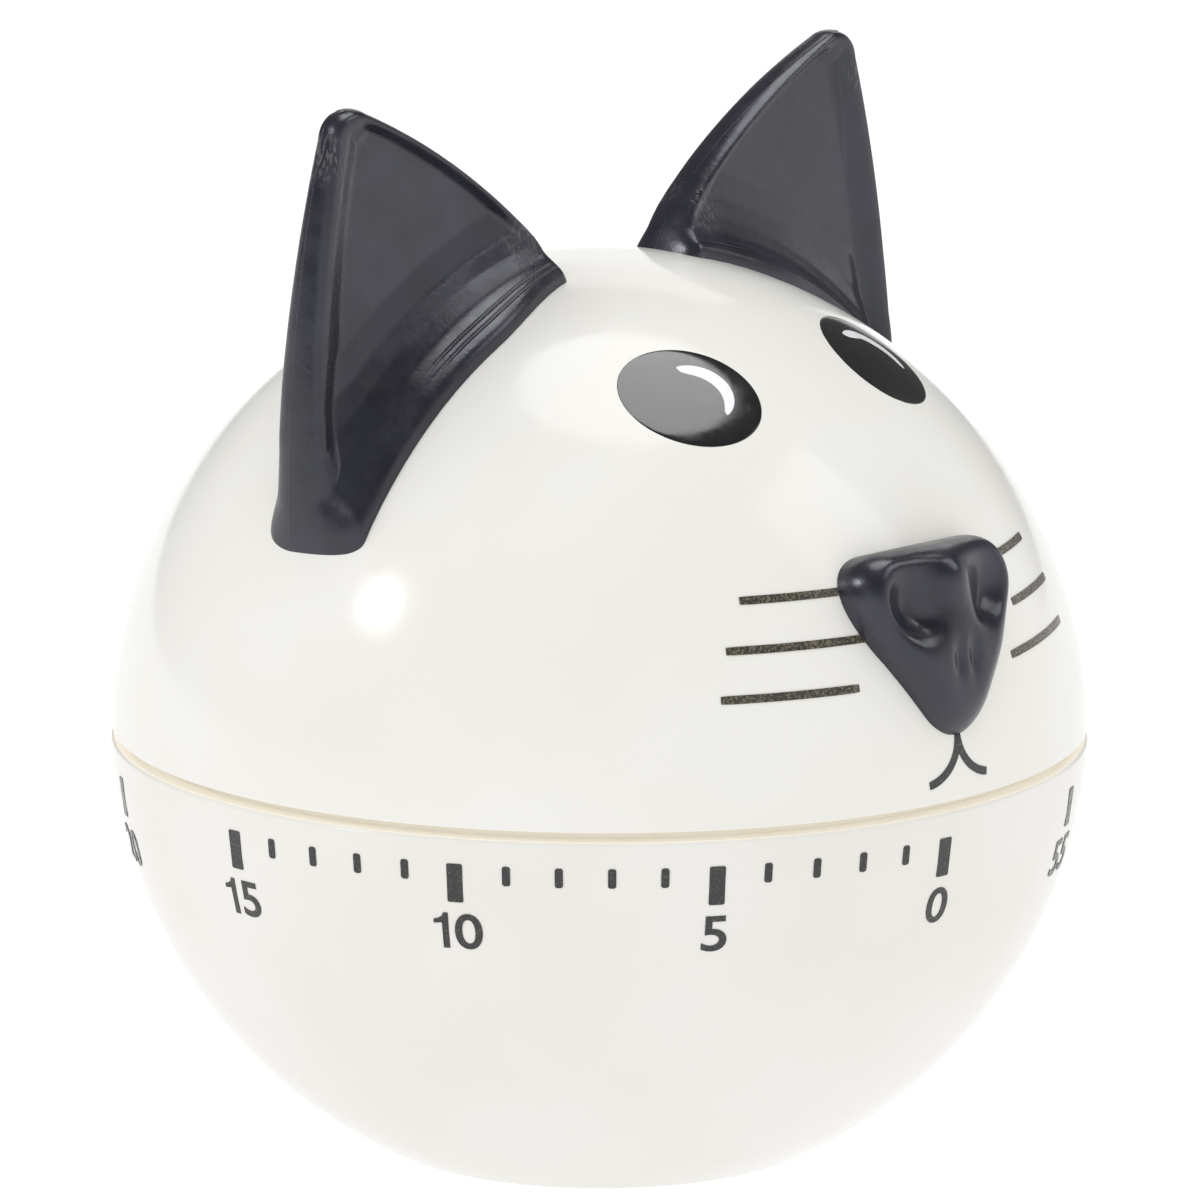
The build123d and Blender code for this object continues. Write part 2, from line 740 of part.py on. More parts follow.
with BuildPart() as balance_arbor:
    with BuildSketch(level(balance_axis, lower_plate_z)):
        Circle(pivot_radius)
    extrude(amount=plate_top_z - lower_plate_z)
    with BuildSketch(level(balance_axis, between_low_z + end_shake)):
        Circle(balance_arbor_radius)
    extrude(amount=upper_plate_z - between_low_z - 2 * end_shake)

with BuildPart() as pallet_anchor:
    with BuildSketch(Plane.XY.offset(anchor_z)):
        with Locations(balance_axis):
            Circle(1.3)
        for pin_axis in pallet_pin_axes:
            bar(balance_axis, pin_axis, 1.1)
        with Locations(balance_axis):
            Circle(balance_arbor_radius, mode=Mode.SUBTRACT)
    extrude(amount=anchor_thickness)
    with BuildSketch(Plane.XY.offset(escape_wheel_z - 0.1)):
        with Locations(*pallet_pin_axes):
            Circle(pin_radius)
    extrude(amount=anchor_z + 0.1 - escape_wheel_z)

with BuildPart() as balance_bar:
    with BuildSketch(Plane.XY.offset(balance_z)):
        bar(weight_axes[0], weight_axes[1], 1.6)
        with Locations(balance_axis):
            Circle(balance_weight_radius)
            Circle(balance_arbor_radius, mode=Mode.SUBTRACT)
        with Locations(*weight_axes):
            Circle(balance_weight_radius)
    extrude(amount=balance_thickness)
    with BuildSketch(Plane.XY.offset(balance_z + balance_thickness)):
        with Locations(*weight_axes):
            Circle(balance_weight_radius)
    extrude(amount=balance_thickness)

# ---------------------------------------------------------------- alarm
# The great wheel also drives a star wheel. When the cam's notch lets the trip lever in,
# the star kicks the hammer's tail and the hammer beats inside the bell.
strike_arbor = pinion_arbor(
    strike_axis, great_module, strike_angle + 180 + half_leaf_pitch, great_wheel_z - 0.4, 0.7
)
star_radius = 4.0
hammer_arm_z = 30.2
hammer_arm_thickness = 0.6
hammer_head_radius = 1.6
hammer_head_axis = ring_point(15.2, 90.0 + polar_step(hammer_ring, 15.2, 7.0))
star_to_hammer = heading(hammer_axis, strike_axis)
tail_x, tail_y = ring_point(2.0, star_to_hammer)

with BuildPart() as strike_wheel:
    with BuildSketch(level(strike_axis, strike_wheel_z)):
        with BuildLine():
            Polyline(*saw_outline(10, 2.8, star_radius, 0.5, 0.0), close=True)
        make_face()
        Circle(0.7, mode=Mode.SUBTRACT)
    extrude(amount=thin_wheel)

with BuildPart() as hammer_arbor:
    with BuildSketch(level(hammer_axis, lower_plate_z)):
        Circle(pivot_radius)
    extrude(amount=plate_thickness + end_shake)
    with BuildSketch(level(hammer_axis, between_low_z + end_shake)):
        Circle(hammer_body_radius)
    extrude(amount=hammer_arm_z + hammer_arm_thickness + 0.4 - between_low_z - end_shake)

with BuildPart() as hammer_tail:
    with BuildSketch(Plane.XY.offset(strike_wheel_z)):
        with Locations(hammer_axis):
            Circle(1.5)
        bar(hammer_axis, (hammer_axis[0] + tail_x, hammer_axis[1] + tail_y), 1.0)
        with Locations(hammer_axis):
            Circle(hammer_body_radius, mode=Mode.SUBTRACT)
    extrude(amount=thin_wheel)

with BuildPart() as hammer_arm:
    with BuildSketch(Plane.XY.offset(hammer_arm_z)):
        with Locations(hammer_axis):
            Circle(1.7)
        bar(hammer_axis, hammer_head_axis, 1.6)
        with Locations(hammer_axis):
            Circle(hammer_body_radius, mode=Mode.SUBTRACT)
        with Locations(hammer_head_axis):
            Circle(0.5, mode=Mode.SUBTRACT)
    extrude(amount=hammer_arm_thickness)

with BuildPart() as hammer_head:
    with BuildSketch(level(hammer_head_axis, hammer_arm_z - 0.2)):
        Circle(0.5)
    extrude(amount=hammer_arm_thickness + 0.2)
    with BuildSketch(level(hammer_head_axis, hammer_arm_z + hammer_arm_thickness)):
        Circle(hammer_head_radius)
    extrude(amount=3.0)

# The cam disc turns with the head. Its notch is the zero mark, and its long finger meets
# the stop pin at both ends of the dial's travel.
cam_radius = 6.0
cam_thickness = 0.5
finger_reach = 11.6
finger_thickness = 0.5
finger_width = 0.4
dial_travel = 354.0
finger_angle = 90.0 - (360.0 - dial_travel) / 2
trip_tip = ring_point(6.65, 118.0)
with BuildPart() as cam_disc:
    with BuildSketch(Plane.XY.offset(cam_z)):
        Circle(cam_radius)
        with Locations(ring_point(cam_radius + 0.2, 118.0)):
            Circle(0.9, mode=Mode.SUBTRACT)
        Circle(arbor_radius, mode=Mode.SUBTRACT)
    extrude(amount=cam_thickness)
    with BuildSketch(Plane.XY.offset(cam_z + cam_thickness)):
        Circle(4.0)
        Circle(arbor_radius, mode=Mode.SUBTRACT)
    extrude(amount=stop_finger_z + finger_thickness - cam_z - cam_thickness)
    with BuildSketch(Plane.XY.offset(stop_finger_z)):
        finger_start = ring_point(arbor_radius + 0.8, finger_angle)
        finger_end = ring_point(finger_reach - finger_width / 2, finger_angle)
        bar(finger_start, finger_end, finger_width)
    extrude(amount=finger_thickness)

with BuildPart() as stop_pin:
    with BuildSketch(level(stop_pin_axis, stop_finger_z - 0.2)):
        Circle(pin_radius)
    extrude(amount=plate_top_z + 0.2 - stop_finger_z)

with BuildPart() as trip_post:
    with BuildSketch(level(trip_axis, cam_z - 0.6)):
        Circle(1.0)
    extrude(amount=0.4)
    with BuildSketch(level(trip_axis, cam_z - 0.2)):
        Circle(trip_post_radius)
    extrude(amount=plate_top_z + 0.2 - cam_z)

with BuildPart() as trip_lever:
    with BuildSketch(Plane.XY.offset(cam_z)):
        with Locations(trip_axis):
            Circle(1.4)
        bar(trip_axis, trip_tip, 0.9)
        bar(trip_axis, ring_point(15.8, 119.0), 0.9)
        with Locations(trip_axis):
            Circle(trip_post_radius + running_gap, mode=Mode.SUBTRACT)
    extrude(amount=cam_thickness)

# ---------------------------------------------------------------- bell
# A steel cup, open side down, held on a hollow post round the arbor by a hexagon nut.
bell_radius = 18.5
bell_wall = 0.8
bell_rim_z = 29.5
bell_shoulder_z = 34.0
bell_seat_z = 37.2
bell_crown_radius = 11.0
bell_neck_radius = 3.3
post_foot_radius = 5.5
post_foot_height = 1.0
post_radius = 4.2
post_thread_height = 3.0
post_bore = 2.8
with BuildPart() as bell_post:
    with BuildSketch(Plane.XY.offset(plate_top_z)):
        Circle(post_foot_radius)
    extrude(amount=post_foot_height)
    with BuildSketch(Plane.XY.offset(plate_top_z + post_foot_height)):
        Circle(post_radius)
    extrude(amount=bell_seat_z - plate_top_z - post_foot_height)
    with BuildSketch(Plane.XY.offset(bell_seat_z)):
        Circle(bell_neck_radius)
    extrude(amount=post_thread_height)
    with BuildSketch(Plane.XY.offset(plate_top_z)):
        Circle(post_bore)
    extrude(amount=bell_seat_z + post_thread_height - plate_top_z, mode=Mode.SUBTRACT)

with BuildPart() as bell:
    with BuildSketch(Plane.XZ):
        with BuildLine():
            outer_top = (bell_crown_radius, bell_seat_z + bell_wall)
            inner_top = (bell_crown_radius, bell_seat_z)
            Polyline(
                (bell_neck_radius, bell_seat_z),
                (bell_neck_radius, bell_seat_z + bell_wall),
                outer_top,
            )
            RadiusArc(outer_top, (bell_radius, bell_shoulder_z), 8.5)
            Polyline(
                (bell_radius, bell_shoulder_z),
                (bell_radius, bell_rim_z),
                (bell_radius - bell_wall, bell_rim_z),
                (bell_radius - bell_wall, bell_shoulder_z),
            )
            RadiusArc((bell_radius - bell_wall, bell_shoulder_z), inner_top, -7.7)
            Line(inner_top, (bell_neck_radius, bell_seat_z))
        make_face()
    revolve(axis=Axis.Z)

with BuildPart() as bell_nut:
    with BuildSketch(Plane.XY.offset(bell_seat_z + bell_wall)):
        RegularPolygon(5.6, 6)
        Circle(bell_neck_radius, mode=Mode.SUBTRACT)
    extrude(amount=1.8)

# ---------------------------------------------------------------- hand-over
pieces = {
    "base_shell": base_shell,
    "head_shell": head_shell,
    "right_ear": right_ear_finished,
    "left_ear": left_ear,
    "nose": nose,
    "lower_plate": lower_plate,
    "upper_plate": upper_plate,
    "pillar_1": pillars[0],
    "pillar_2": pillars[1],
    "pillar_3": pillars[2],
    "pillar_nuts": pillar_nuts,
    "base_screws": base_screws,
    "lower_bush": lower_bush,
    "centre_bush": centre_bush,
    "main_arbor": main_arbor,
    "mainspring": mainspring,
    "spring_post": spring_post,
    "great_wheel": great_wheel,
    "ratchet_wheel": ratchet_wheel,
    "click_post": click_post,
    "click": click,
    "click_spring": click_spring,
    "second_arbor": second_arbor,
    "second_wheel": second_wheel,
    "third_arbor": third_arbor,
    "third_wheel": third_wheel,
    "escape_arbor": escape_arbor,
    "escape_wheel": escape_wheel,
    "balance_arbor": balance_arbor,
    "pallet_anchor": pallet_anchor,
    "balance_bar": balance_bar,
    "strike_arbor": strike_arbor,
    "strike_wheel": strike_wheel,
    "hammer_arbor": hammer_arbor,
    "hammer_tail": hammer_tail,
    "hammer_arm": hammer_arm,
    "hammer_head": hammer_head,
    "cam_disc": cam_disc,
    "stop_pin": stop_pin,
    "trip_post": trip_post,
    "trip_lever": trip_lever,
    "bell_post": bell_post,
    "bell": bell,
    "bell_nut": bell_nut,
}
os.makedirs("parts", exist_ok=True)
for name, piece in pieces.items():
    piece.part.label = name
    export_step(piece.part, f"parts/{name}.step")
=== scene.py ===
# %% [markdown]
# # A cat-shaped kitchen timer
# The object is a plastic ball, a little over 6 cm across, that stands on a small flat foot.
# The upper half is a cat's head and is turned to wind the timer. The lower half stays
# still and carries the minute scale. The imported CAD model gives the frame: both shells,
# the clockwork, and the solids that the joints move. This script adds the looks around it.
# All places are in metres, in the CAD's own frame, and the face looks along -Y. Left and
# right are as seen by someone who looks the cat in the face.

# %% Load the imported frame
import math

import bpy
import numpy as np
from mathutils import Matrix, Vector


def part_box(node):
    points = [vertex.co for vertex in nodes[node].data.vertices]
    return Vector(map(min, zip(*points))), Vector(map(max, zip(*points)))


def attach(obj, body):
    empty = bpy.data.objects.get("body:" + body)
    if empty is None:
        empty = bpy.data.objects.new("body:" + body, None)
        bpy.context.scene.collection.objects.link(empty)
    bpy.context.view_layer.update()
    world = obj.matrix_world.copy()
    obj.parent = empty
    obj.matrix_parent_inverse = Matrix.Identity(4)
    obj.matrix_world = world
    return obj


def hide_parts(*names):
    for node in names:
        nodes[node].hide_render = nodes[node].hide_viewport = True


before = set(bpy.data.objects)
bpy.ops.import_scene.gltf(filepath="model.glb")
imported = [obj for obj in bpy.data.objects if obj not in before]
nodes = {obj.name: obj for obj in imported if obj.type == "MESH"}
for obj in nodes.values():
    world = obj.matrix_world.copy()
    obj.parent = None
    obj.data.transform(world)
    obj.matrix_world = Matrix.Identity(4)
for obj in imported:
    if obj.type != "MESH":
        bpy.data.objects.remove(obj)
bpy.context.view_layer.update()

MM = 0.001
print("CAD nodes:", len(nodes))

# %% [markdown]
# ## Where the two balls are
# Each shell's outside is part of a ball. The dome is a cap, and a cap's radius follows from
# its height and the width of its rim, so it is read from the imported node. The lower shell's
# ball is a hair wider and its centre is a little higher, which gives the step at the seam.

# %% Measure the head and name the base
head_low, head_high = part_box("head_shell")
rim_reach = (head_high.x - head_low.x) / 2
cap_height = head_high.z - head_low.z
head_radius = (rim_reach**2 + cap_height**2) / (2 * cap_height)
head_centre = Vector((0, 0, head_high.z - head_radius))
base_overhang = 0.1 * MM  # how far the lower shell's ball is wider
base_lift = 1.55 * MM  # and how much higher its centre is
base_radius = head_radius + base_overhang
base_centre = head_centre + Vector((0, 0, base_lift))
base_rim_z = 26.45 * MM
print("head ball: radius %.2f mm, centre %.2f mm up" % (head_radius / MM, head_centre.z / MM))

# %% [markdown]
# ## Small helpers for modelling
# An operator acts on whatever is selected, so one helper clears the selection and picks a
# single piece. Another applies a modifier. The bend tools of edit mode need a window, so
# a third helper moves every vertex by a rule instead: that is how flat prints are laid on
# the ball and how a round blank is pressed into an ear or a nose.

# %% Helpers: pick, apply, press
def pick(piece):
    """Makes piece the only selected object, and the active one."""
    bpy.ops.object.select_all(action="DESELECT")
    piece.select_set(True)
    bpy.context.view_layer.objects.active = piece
    return piece


def added(name):
    """Names the object that an operator has just added."""
    piece = bpy.context.object
    piece.name = name
    piece.data.name = name
    return piece


def apply_modifier(piece, kind, **settings):
    """Adds a modifier with these settings and applies it at once."""
    pick(piece)
    modifier = piece.modifiers.new(kind.lower(), kind)
    for key, value in settings.items():
        setattr(modifier, key, value)
    bpy.ops.object.modifier_apply(modifier=modifier.name)


def press(piece, rule):
    """Moves all of a piece's vertices by a rule that takes and gives an array of points."""
    flat = np.zeros(3 * len(piece.data.vertices))
    piece.data.vertices.foreach_get("co", flat)
    piece.data.vertices.foreach_set("co", rule(flat.reshape(-1, 3)).ravel())
    piece.data.update()
    return piece


def face_out(piece):
    """Turns all faces of a closed piece outwards."""
    pick(piece)
    bpy.ops.object.mode_set(mode="EDIT")
    bpy.ops.mesh.select_all(action="SELECT")
    bpy.ops.mesh.normals_make_consistent(inside=False)
    bpy.ops.object.mode_set(mode="OBJECT")


def settle(piece, body, finish, sharp=30):
    """Gives a finished piece its shading, its finish and its body."""
    pick(piece)
    bpy.ops.object.shade_smooth_by_angle(angle=math.radians(sharp))
    piece.data.materials.clear()
    piece.data.materials.append(finish)
    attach(piece, body)
    print("%-22s %6d faces, rides %s" % (piece.name, len(piece.data.polygons), body))


# %% [markdown]
# ## Laying a print on a ball
# The marks on this timer are pad printed: a soft pad picks up flat ink and rolls it on the
# ball. Two rules copy that. The patch rule rolls a flat shape out around one point, and
# suits the eyes, the digits and the ticks. The band rule follows a line of constant height,
# and suits the whiskers. Directions are given as degrees round from the face and up.

# %% Two rules that lay flat ink on a ball
def way(around, up):
    """The unit vector that points this many degrees round from the face, and up."""
    a, e = np.radians(around), np.radians(up)
    return np.stack([np.sin(a) * np.cos(e), -np.cos(a) * np.cos(e), np.sin(e)], axis=-1)


def patch_rule(centre, radius, around, up):
    """Rolls a flat shape out on the ball, around the point in that direction."""
    out = way(around, up)
    right = np.array([math.cos(math.radians(around)), math.sin(math.radians(around)), 0])
    rise = np.cross(out, right)

    def rule(points):
        length = np.hypot(points[:, 0], points[:, 1])
        safe = np.maximum(length, 1e-12)
        turn = length / radius
        side = (points[:, :1] * right + points[:, 1:2] * rise) / safe[:, None]
        normal = np.cos(turn)[:, None] * out + np.sin(turn)[:, None] * side
        return np.array(centre) + normal * (radius + points[:, 2:3])

    return rule


def band_rule(centre, radius, around, up):
    """Bends a flat shape round the ball at a constant height, from that direction on."""
    def rule(points):
        a = around + np.degrees(points[:, 0] / (radius * math.cos(math.radians(up))))
        e = up + np.degrees(points[:, 1] / radius)
        return np.array(centre) + way(a, e) * (radius + points[:, 2:3])

    return rule


film = 0.045 * MM  # how far the ink stands above the plastic

# %% [markdown]
# ## Finishes
# Each finish is a node material that reads Object coordinates, which are the CAD's own
# metres. Soft noise varies the colour and the gloss, finer noise gives a bump, and the
# gloss itself comes from the shader.

# %% Helpers: nodes for a finish
class Finish:
    """A new material, with short ways to add the nodes that this object's finishes share."""

    def __init__(self, name, **shader_values):
        self.material = bpy.data.materials.new(name)
        self.material.use_nodes = True
        self.tree = self.material.node_tree
        self.shader = self.tree.nodes["Principled BSDF"]
        self.place = self.add("TexCoord").outputs["Object"]
        for socket, value in shader_values.items():
            self.shader.inputs[socket.replace("_", " ")].default_value = value

    def add(self, kind, **settings):
        """Adds a shader node."""
        node = self.tree.nodes.new("ShaderNode" + kind)
        for key, value in settings.items():
            setattr(node, key, value)
        return node

    def join(self, source, target):
        """Links an output to an input."""
        self.tree.links.new(source, target)

    def cloud(self, size, stretch=(1, 1, 1), detail=3.0, seed=(0, 0, 0)):
        """Noise whose lumps are about this size, in metres, and longer along a stretched axis."""
        mapping = self.add("Mapping")
        mapping.inputs["Location"].default_value = seed
        mapping.inputs["Scale"].default_value = [1 / (size * s) for s in stretch]
        noise = self.add("TexNoise")
        noise.inputs["Scale"].default_value = 1
        noise.inputs["Detail"].default_value = detail
        self.join(self.place, mapping.inputs["Vector"])
        self.join(mapping.outputs["Vector"], noise.inputs["Vector"])
        return noise.outputs["Fac"]

    def scale(self, value, low, high, to_low=0.0, to_high=1.0):
        """Maps a value from one range to another, and holds it at the ends."""
        node = self.add("MapRange", interpolation_type="SMOOTHSTEP")
        for socket, number in zip(node.inputs[1:5], (low, high, to_low, to_high)):
            socket.default_value = number
        self.join(value, node.inputs["Value"])
        return node.outputs["Result"]

    def mix(self, share, first, second):
        """Mixes two colours, each given as a tuple or as another node's output."""
        node = self.add("Mix", data_type="RGBA")
        self.join(share, node.inputs[0])
        for socket, colour in zip(node.inputs[6:8], (first, second)):
            if isinstance(colour, tuple):
                socket.default_value = (*colour, 1)
            else:
                self.join(colour, socket)
        return node.outputs[2]

    def near(self, spot, inner, outer):
        """One near a spot and nought past the outer distance; the same left, right and behind."""
        mirror = self.add("VectorMath", operation="ABSOLUTE")
        gap = self.add("VectorMath", operation="DISTANCE")
        self.join(self.place, mirror.inputs[0])
        self.join(mirror.outputs[0], gap.inputs[0])
        gap.inputs[1].default_value = [abs(c) for c in spot]
        return self.scale(gap.outputs["Value"], inner, outer, 1.0, 0.0)

    def colour(self, source):
        """Sets what paints the surface."""
        self.join(source, self.shader.inputs["Base Color"])
        return self

    def gloss(self, source, low, high):
        """Lets a value vary the roughness between two levels."""
        self.join(self.scale(source, 0.3, 0.7, low, high), self.shader.inputs["Roughness"])
        return self

    def times(self, first, second):
        """Multiplies two values."""
        node = self.add("Math", operation="MULTIPLY")
        self.join(first, node.inputs[0])
        self.join(second, node.inputs[1])
        return node.outputs[0]

    def line_at(self, value, place, half_width):
        """One where a value is at this place, and nought past half a width from it."""
        gap = self.add("Math", operation="SUBTRACT")
        gap.inputs[1].default_value = place
        away = self.add("Math", operation="ABSOLUTE")
        self.join(value, gap.inputs[0])
        self.join(gap.outputs[0], away.inputs[0])
        return self.scale(away.outputs[0], 0, half_width, 1.0, 0.0)

    def relief(self, source, depth):
        """Lets a value raise the surface by this depth, in metres, or lower it if negative."""
        bump = self.add("Bump", invert=depth < 0)
        bump.inputs["Distance"].default_value = abs(depth)
        for earlier in self.shader.inputs["Normal"].links:
            self.join(earlier.from_socket, bump.inputs["Normal"])
        self.join(source, bump.inputs["Height"])
        self.join(bump.outputs["Normal"], self.shader.inputs["Normal"])
        return self


def paint(names, finish):
    """Puts a finish on CAD nodes."""
    for name in names:
        nodes[name].data.materials.clear()
        nodes[name].data.materials.append(finish.material)
    print("%-18s on %s" % (finish.material.name, ", ".join(names)))


# %% [markdown]
# ### Cream plastic
# Both shells are glossy cream plastic. It is a touch cooler and paler in soft clouds,
# as moulded plastic is where it flowed, and its gloss has faint hazy patches. Inside the
# seam the plastic is a warmer beige, and a faint painted glow lightens the shaded gap there.
# The dome has small beige patches of painted shade where the ear slots end.

# %% Cream plastic for the two shells
cream = (0.825, 0.812, 0.765)
cool_cream = (0.84, 0.832, 0.80)
base_cream = (0.80, 0.78, 0.735)
cool_base_cream = (0.82, 0.805, 0.77)
beige = (0.88, 0.85, 0.78)
# the glow is painted light that brightens the shaded gap of the seam
painted_seam_glow = (0.125, 0.118, 0.10)


def cream_plastic(name, seed, warm, cool, seam_edge):
    """The finish that both shells share, in two tones, and beige with a painted glow past the edge of
    the seam.
    """
    finish = Finish(name, IOR=1.33)
    clouds = finish.cloud(14 * MM, detail=2.0, seed=seed)
    finish.gloss(finish.cloud(3 * MM, seed=seed), 0.10, 0.17)
    finish.relief(finish.cloud(5 * MM, detail=1.0, seed=seed), 0.02 * MM)
    # a faint painted glow in the seam gap, where the two shells shade each other
    finish.shader.inputs["Emission Strength"].default_value = 1
    height = finish.add("SeparateXYZ")
    finish.join(finish.place, height.inputs[0])
    in_seam = finish.scale(height.outputs["Z"], *seam_edge)
    glow = finish.mix(in_seam, (0.0, 0.0, 0.0), painted_seam_glow)
    finish.join(glow, finish.shader.inputs["Emission Color"])
    outside = finish.mix(finish.scale(clouds, 0.35, 0.65), warm, cool)
    return finish, finish.mix(in_seam, outside, beige)


base_edge = (base_rim_z - 0.08 * MM, base_rim_z)
head_edge = (head_low.z + 0.05 * MM, head_low.z - 0.01 * MM)
base_finish, plain = cream_plastic(
    "cream_base_plastic", (3, 1, 0), base_cream, cool_base_cream, base_edge
)
base_finish.colour(plain)
paint(["base_shell"], base_finish)

head_finish, plain = cream_plastic("cream_head_plastic", (0, 2, 5), cream, cool_cream, head_edge)
slot_end = head_centre + Vector((5.6, -2.3, 30.3)) * MM
# painted shade: a small beige patch where the ear slot opens in the dome
painted_slot_shade = head_finish.near(slot_end, 0.5 * MM, 0.95 * MM)
head_finish.colour(head_finish.mix(painted_slot_shade, plain, beige))
paint(["head_shell"], head_finish)

# %% [markdown]
# ### Black plastic, inks
# The ears and the nose are moulded in charcoal plastic with a satin skin. Each ear has pale grey
# scuffs at its tip and at both ends of its foot, partly wear and partly painted highlight, two fine
# tool lines run along the foot, and a parting line runs round the edge. The scale is black ink with
# a few pale specks, the whiskers are a browner ink with more of them, and the eyes are a smooth glossy
# black.

# %% Charcoal plastic and the inks
charcoal = (0.014, 0.0145, 0.021)
charcoal_pale = (0.022, 0.0225, 0.033)
# the pale grey of the scuffs is partly wear and partly painted highlight
scuff_and_highlight_grey = (0.09, 0.09, 0.10)


def charcoal_plastic(name, low, high):
    """Satin black plastic, its roughness between two levels."""
    finish = Finish(name, IOR=1.62, Specular_Tint=(0.92, 0.94, 1.0, 1))
    plain = finish.mix(finish.scale(finish.cloud(4 * MM), 0.3, 0.7), charcoal, charcoal_pale)
    finish.gloss(finish.cloud(1.5 * MM, detail=5.0), low, high)
    finish.relief(finish.cloud(0.35 * MM, detail=4.0), 0.012 * MM)
    return finish, plain


scuff_and_highlight_places = ((8.4, -1.8, 33.0), (23.6, -3.2, 18.0), (24.4, 0.2, 40.0))  # inner end, outer end, tip
tool_lines = (31.95, 32.2)  # in mm from the middle of the ball
parting_line = 0.55  # in mm behind the middle of the ear

ear_finish, plain = charcoal_plastic("charcoal_ear_plastic", 0.20, 0.33)
scratches = ear_finish.scale(ear_finish.cloud(0.22 * MM, stretch=(1, 1, 3), detail=5.0), 0.5, 0.62)
# pale scuffs at tip and foot ends: partly wear, partly painted highlight
for scuff_and_highlight_place in scuff_and_highlight_places:
    around_scuff_and_highlight = ear_finish.near(head_centre + Vector(scuff_and_highlight_place) * MM, 0.3 * MM, 2.2 * MM)
    scuff_and_highlight = ear_finish.times(around_scuff_and_highlight, scratches)
    plain = ear_finish.mix(scuff_and_highlight, plain, scuff_and_highlight_grey)
    ear_finish.relief(scuff_and_highlight, 0.02 * MM)
ear_finish.colour(plain)

from_centre = ear_finish.add("VectorMath", operation="SUBTRACT")
from_centre.inputs[1].default_value = head_centre
ear_finish.join(ear_finish.place, from_centre.inputs[0])
in_plane = ear_finish.add("VectorMath", operation="MULTIPLY")
in_plane.inputs[1].default_value = (1, 0, 1)
ear_finish.join(from_centre.outputs[0], in_plane.inputs[0])
reach = ear_finish.add("VectorMath", operation="LENGTH")
ear_finish.join(in_plane.outputs[0], reach.inputs[0])
axes = ear_finish.add("SeparateXYZ")
ear_finish.join(from_centre.outputs[0], axes.inputs[0])
sideways = ear_finish.add("Math", operation="ABSOLUTE")
ear_finish.join(axes.outputs["X"], sideways.inputs[0])
foot_front = ear_finish.times(
    ear_finish.scale(axes.outputs["Y"], -2.0 * MM, -2.4 * MM),
    ear_finish.scale(sideways.outputs[0], 15 * MM, 20 * MM, 1.0, 0.0),
)
for tool_line in tool_lines:
    line = ear_finish.line_at(reach.outputs["Value"], tool_line * MM, 0.09 * MM)
    ear_finish.relief(ear_finish.times(line, foot_front), -0.05 * MM)
ear_finish.relief(ear_finish.line_at(axes.outputs["Y"], parting_line * MM, 0.07 * MM), 0.03 * MM)
paint(["right_ear", "left_ear"], ear_finish)

nose_finish, plain = charcoal_plastic("charcoal_nose_plastic", 0.20, 0.32)
nose_finish.colour(plain)
paint(["nose"], nose_finish)


def ink(name, colour, speck_colour, first_speck):
    """Flat printed ink with pale specks; the lower the first speck, the more there are."""
    finish = Finish(name, IOR=1.45, Coat_Weight=0.3, Coat_Roughness=0.1)
    specks = finish.scale(finish.cloud(0.16 * MM, detail=2.0), first_speck, first_speck + 0.16)
    finish.colour(finish.mix(specks, colour, speck_colour))
    finish.gloss(finish.cloud(0.5 * MM), 0.25, 0.4)
    finish.relief(finish.cloud(0.12 * MM), 0.006 * MM)
    return finish


ink_finish = ink("black_ink", (0.026, 0.025, 0.027), (0.10, 0.09, 0.07), 0.56)
whisker_ink = ink("brown_black_ink", (0.042, 0.036, 0.028), (0.16, 0.14, 0.10), 0.46)

eye_finish = Finish("eye_black", IOR=1.68)
specks = eye_finish.scale(eye_finish.cloud(0.5 * MM, detail=1.0), 0.68, 0.76)
eye_finish.colour(eye_finish.mix(specks, (0.012, 0.011, 0.012), (0.03, 0.028, 0.028)))
eye_finish.gloss(eye_finish.cloud(2 * MM, detail=4.0), 0.06, 0.15)
eye_finish.relief(eye_finish.cloud(1.2 * MM), 0.004 * MM)

white_finish = Finish("eye_white", IOR=1.45)
white_clouds = white_finish.scale(white_finish.cloud(0.8 * MM), 0.3, 0.7)
white_finish.colour(white_finish.mix(white_clouds, (0.80, 0.81, 0.84), (0.86, 0.87, 0.89)))
white_finish.gloss(white_finish.cloud(1 * MM), 0.15, 0.25)
white_finish.relief(white_finish.cloud(0.3 * MM), 0.004 * MM)

# %% [markdown]
# ### Metals of the clockwork
# None of these show from outside, apart from the three screws under the foot, but each part
# has the finish that its making gives: plates are brushed sheet, wheels are cut brass with
# turning rings, arbors and posts are turned steel, springs are blued strip, and the bell is
# nickelled steel.

# %% Metal finishes
def metal(name, colour, pale, grain, low, high, depth, stretch=(1, 1, 1)):
    """Metal whose colour, gloss and relief follow a grain of one size and direction."""
    finish = Finish(name, Metallic=1.0)
    lines = finish.cloud(grain, stretch=stretch, detail=4.0)
    finish.colour(finish.mix(finish.scale(finish.cloud(5 * MM), 0.3, 0.7), colour, pale))
    finish.gloss(lines, low, high)
    finish.relief(lines, depth)
    return finish


def turned_brass(node):
    """Brass with turning rings round a wheel's own axis."""
    low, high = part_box(node)
    finish = Finish("brass_" + node, Metallic=1.0)
    centre = finish.add("VectorMath", operation="SUBTRACT")
    centre.inputs[1].default_value = (low + high) / 2
    rings = finish.add("TexWave", wave_type="RINGS", rings_direction="Z")
    rings.inputs["Scale"].default_value = 0.3 / MM
    rings.inputs["Distortion"].default_value = 0.6
    finish.join(finish.place, centre.inputs[0])
    finish.join(centre.outputs[0], rings.inputs["Vector"])
    tarnish = finish.scale(finish.cloud(4 * MM), 0.35, 0.65)
    finish.colour(finish.mix(tarnish, (0.72, 0.50, 0.20), (0.58, 0.38, 0.15)))
    finish.gloss(rings.outputs["Fac"], 0.22, 0.34)
    finish.relief(rings.outputs["Fac"], 0.01 * MM)
    return finish


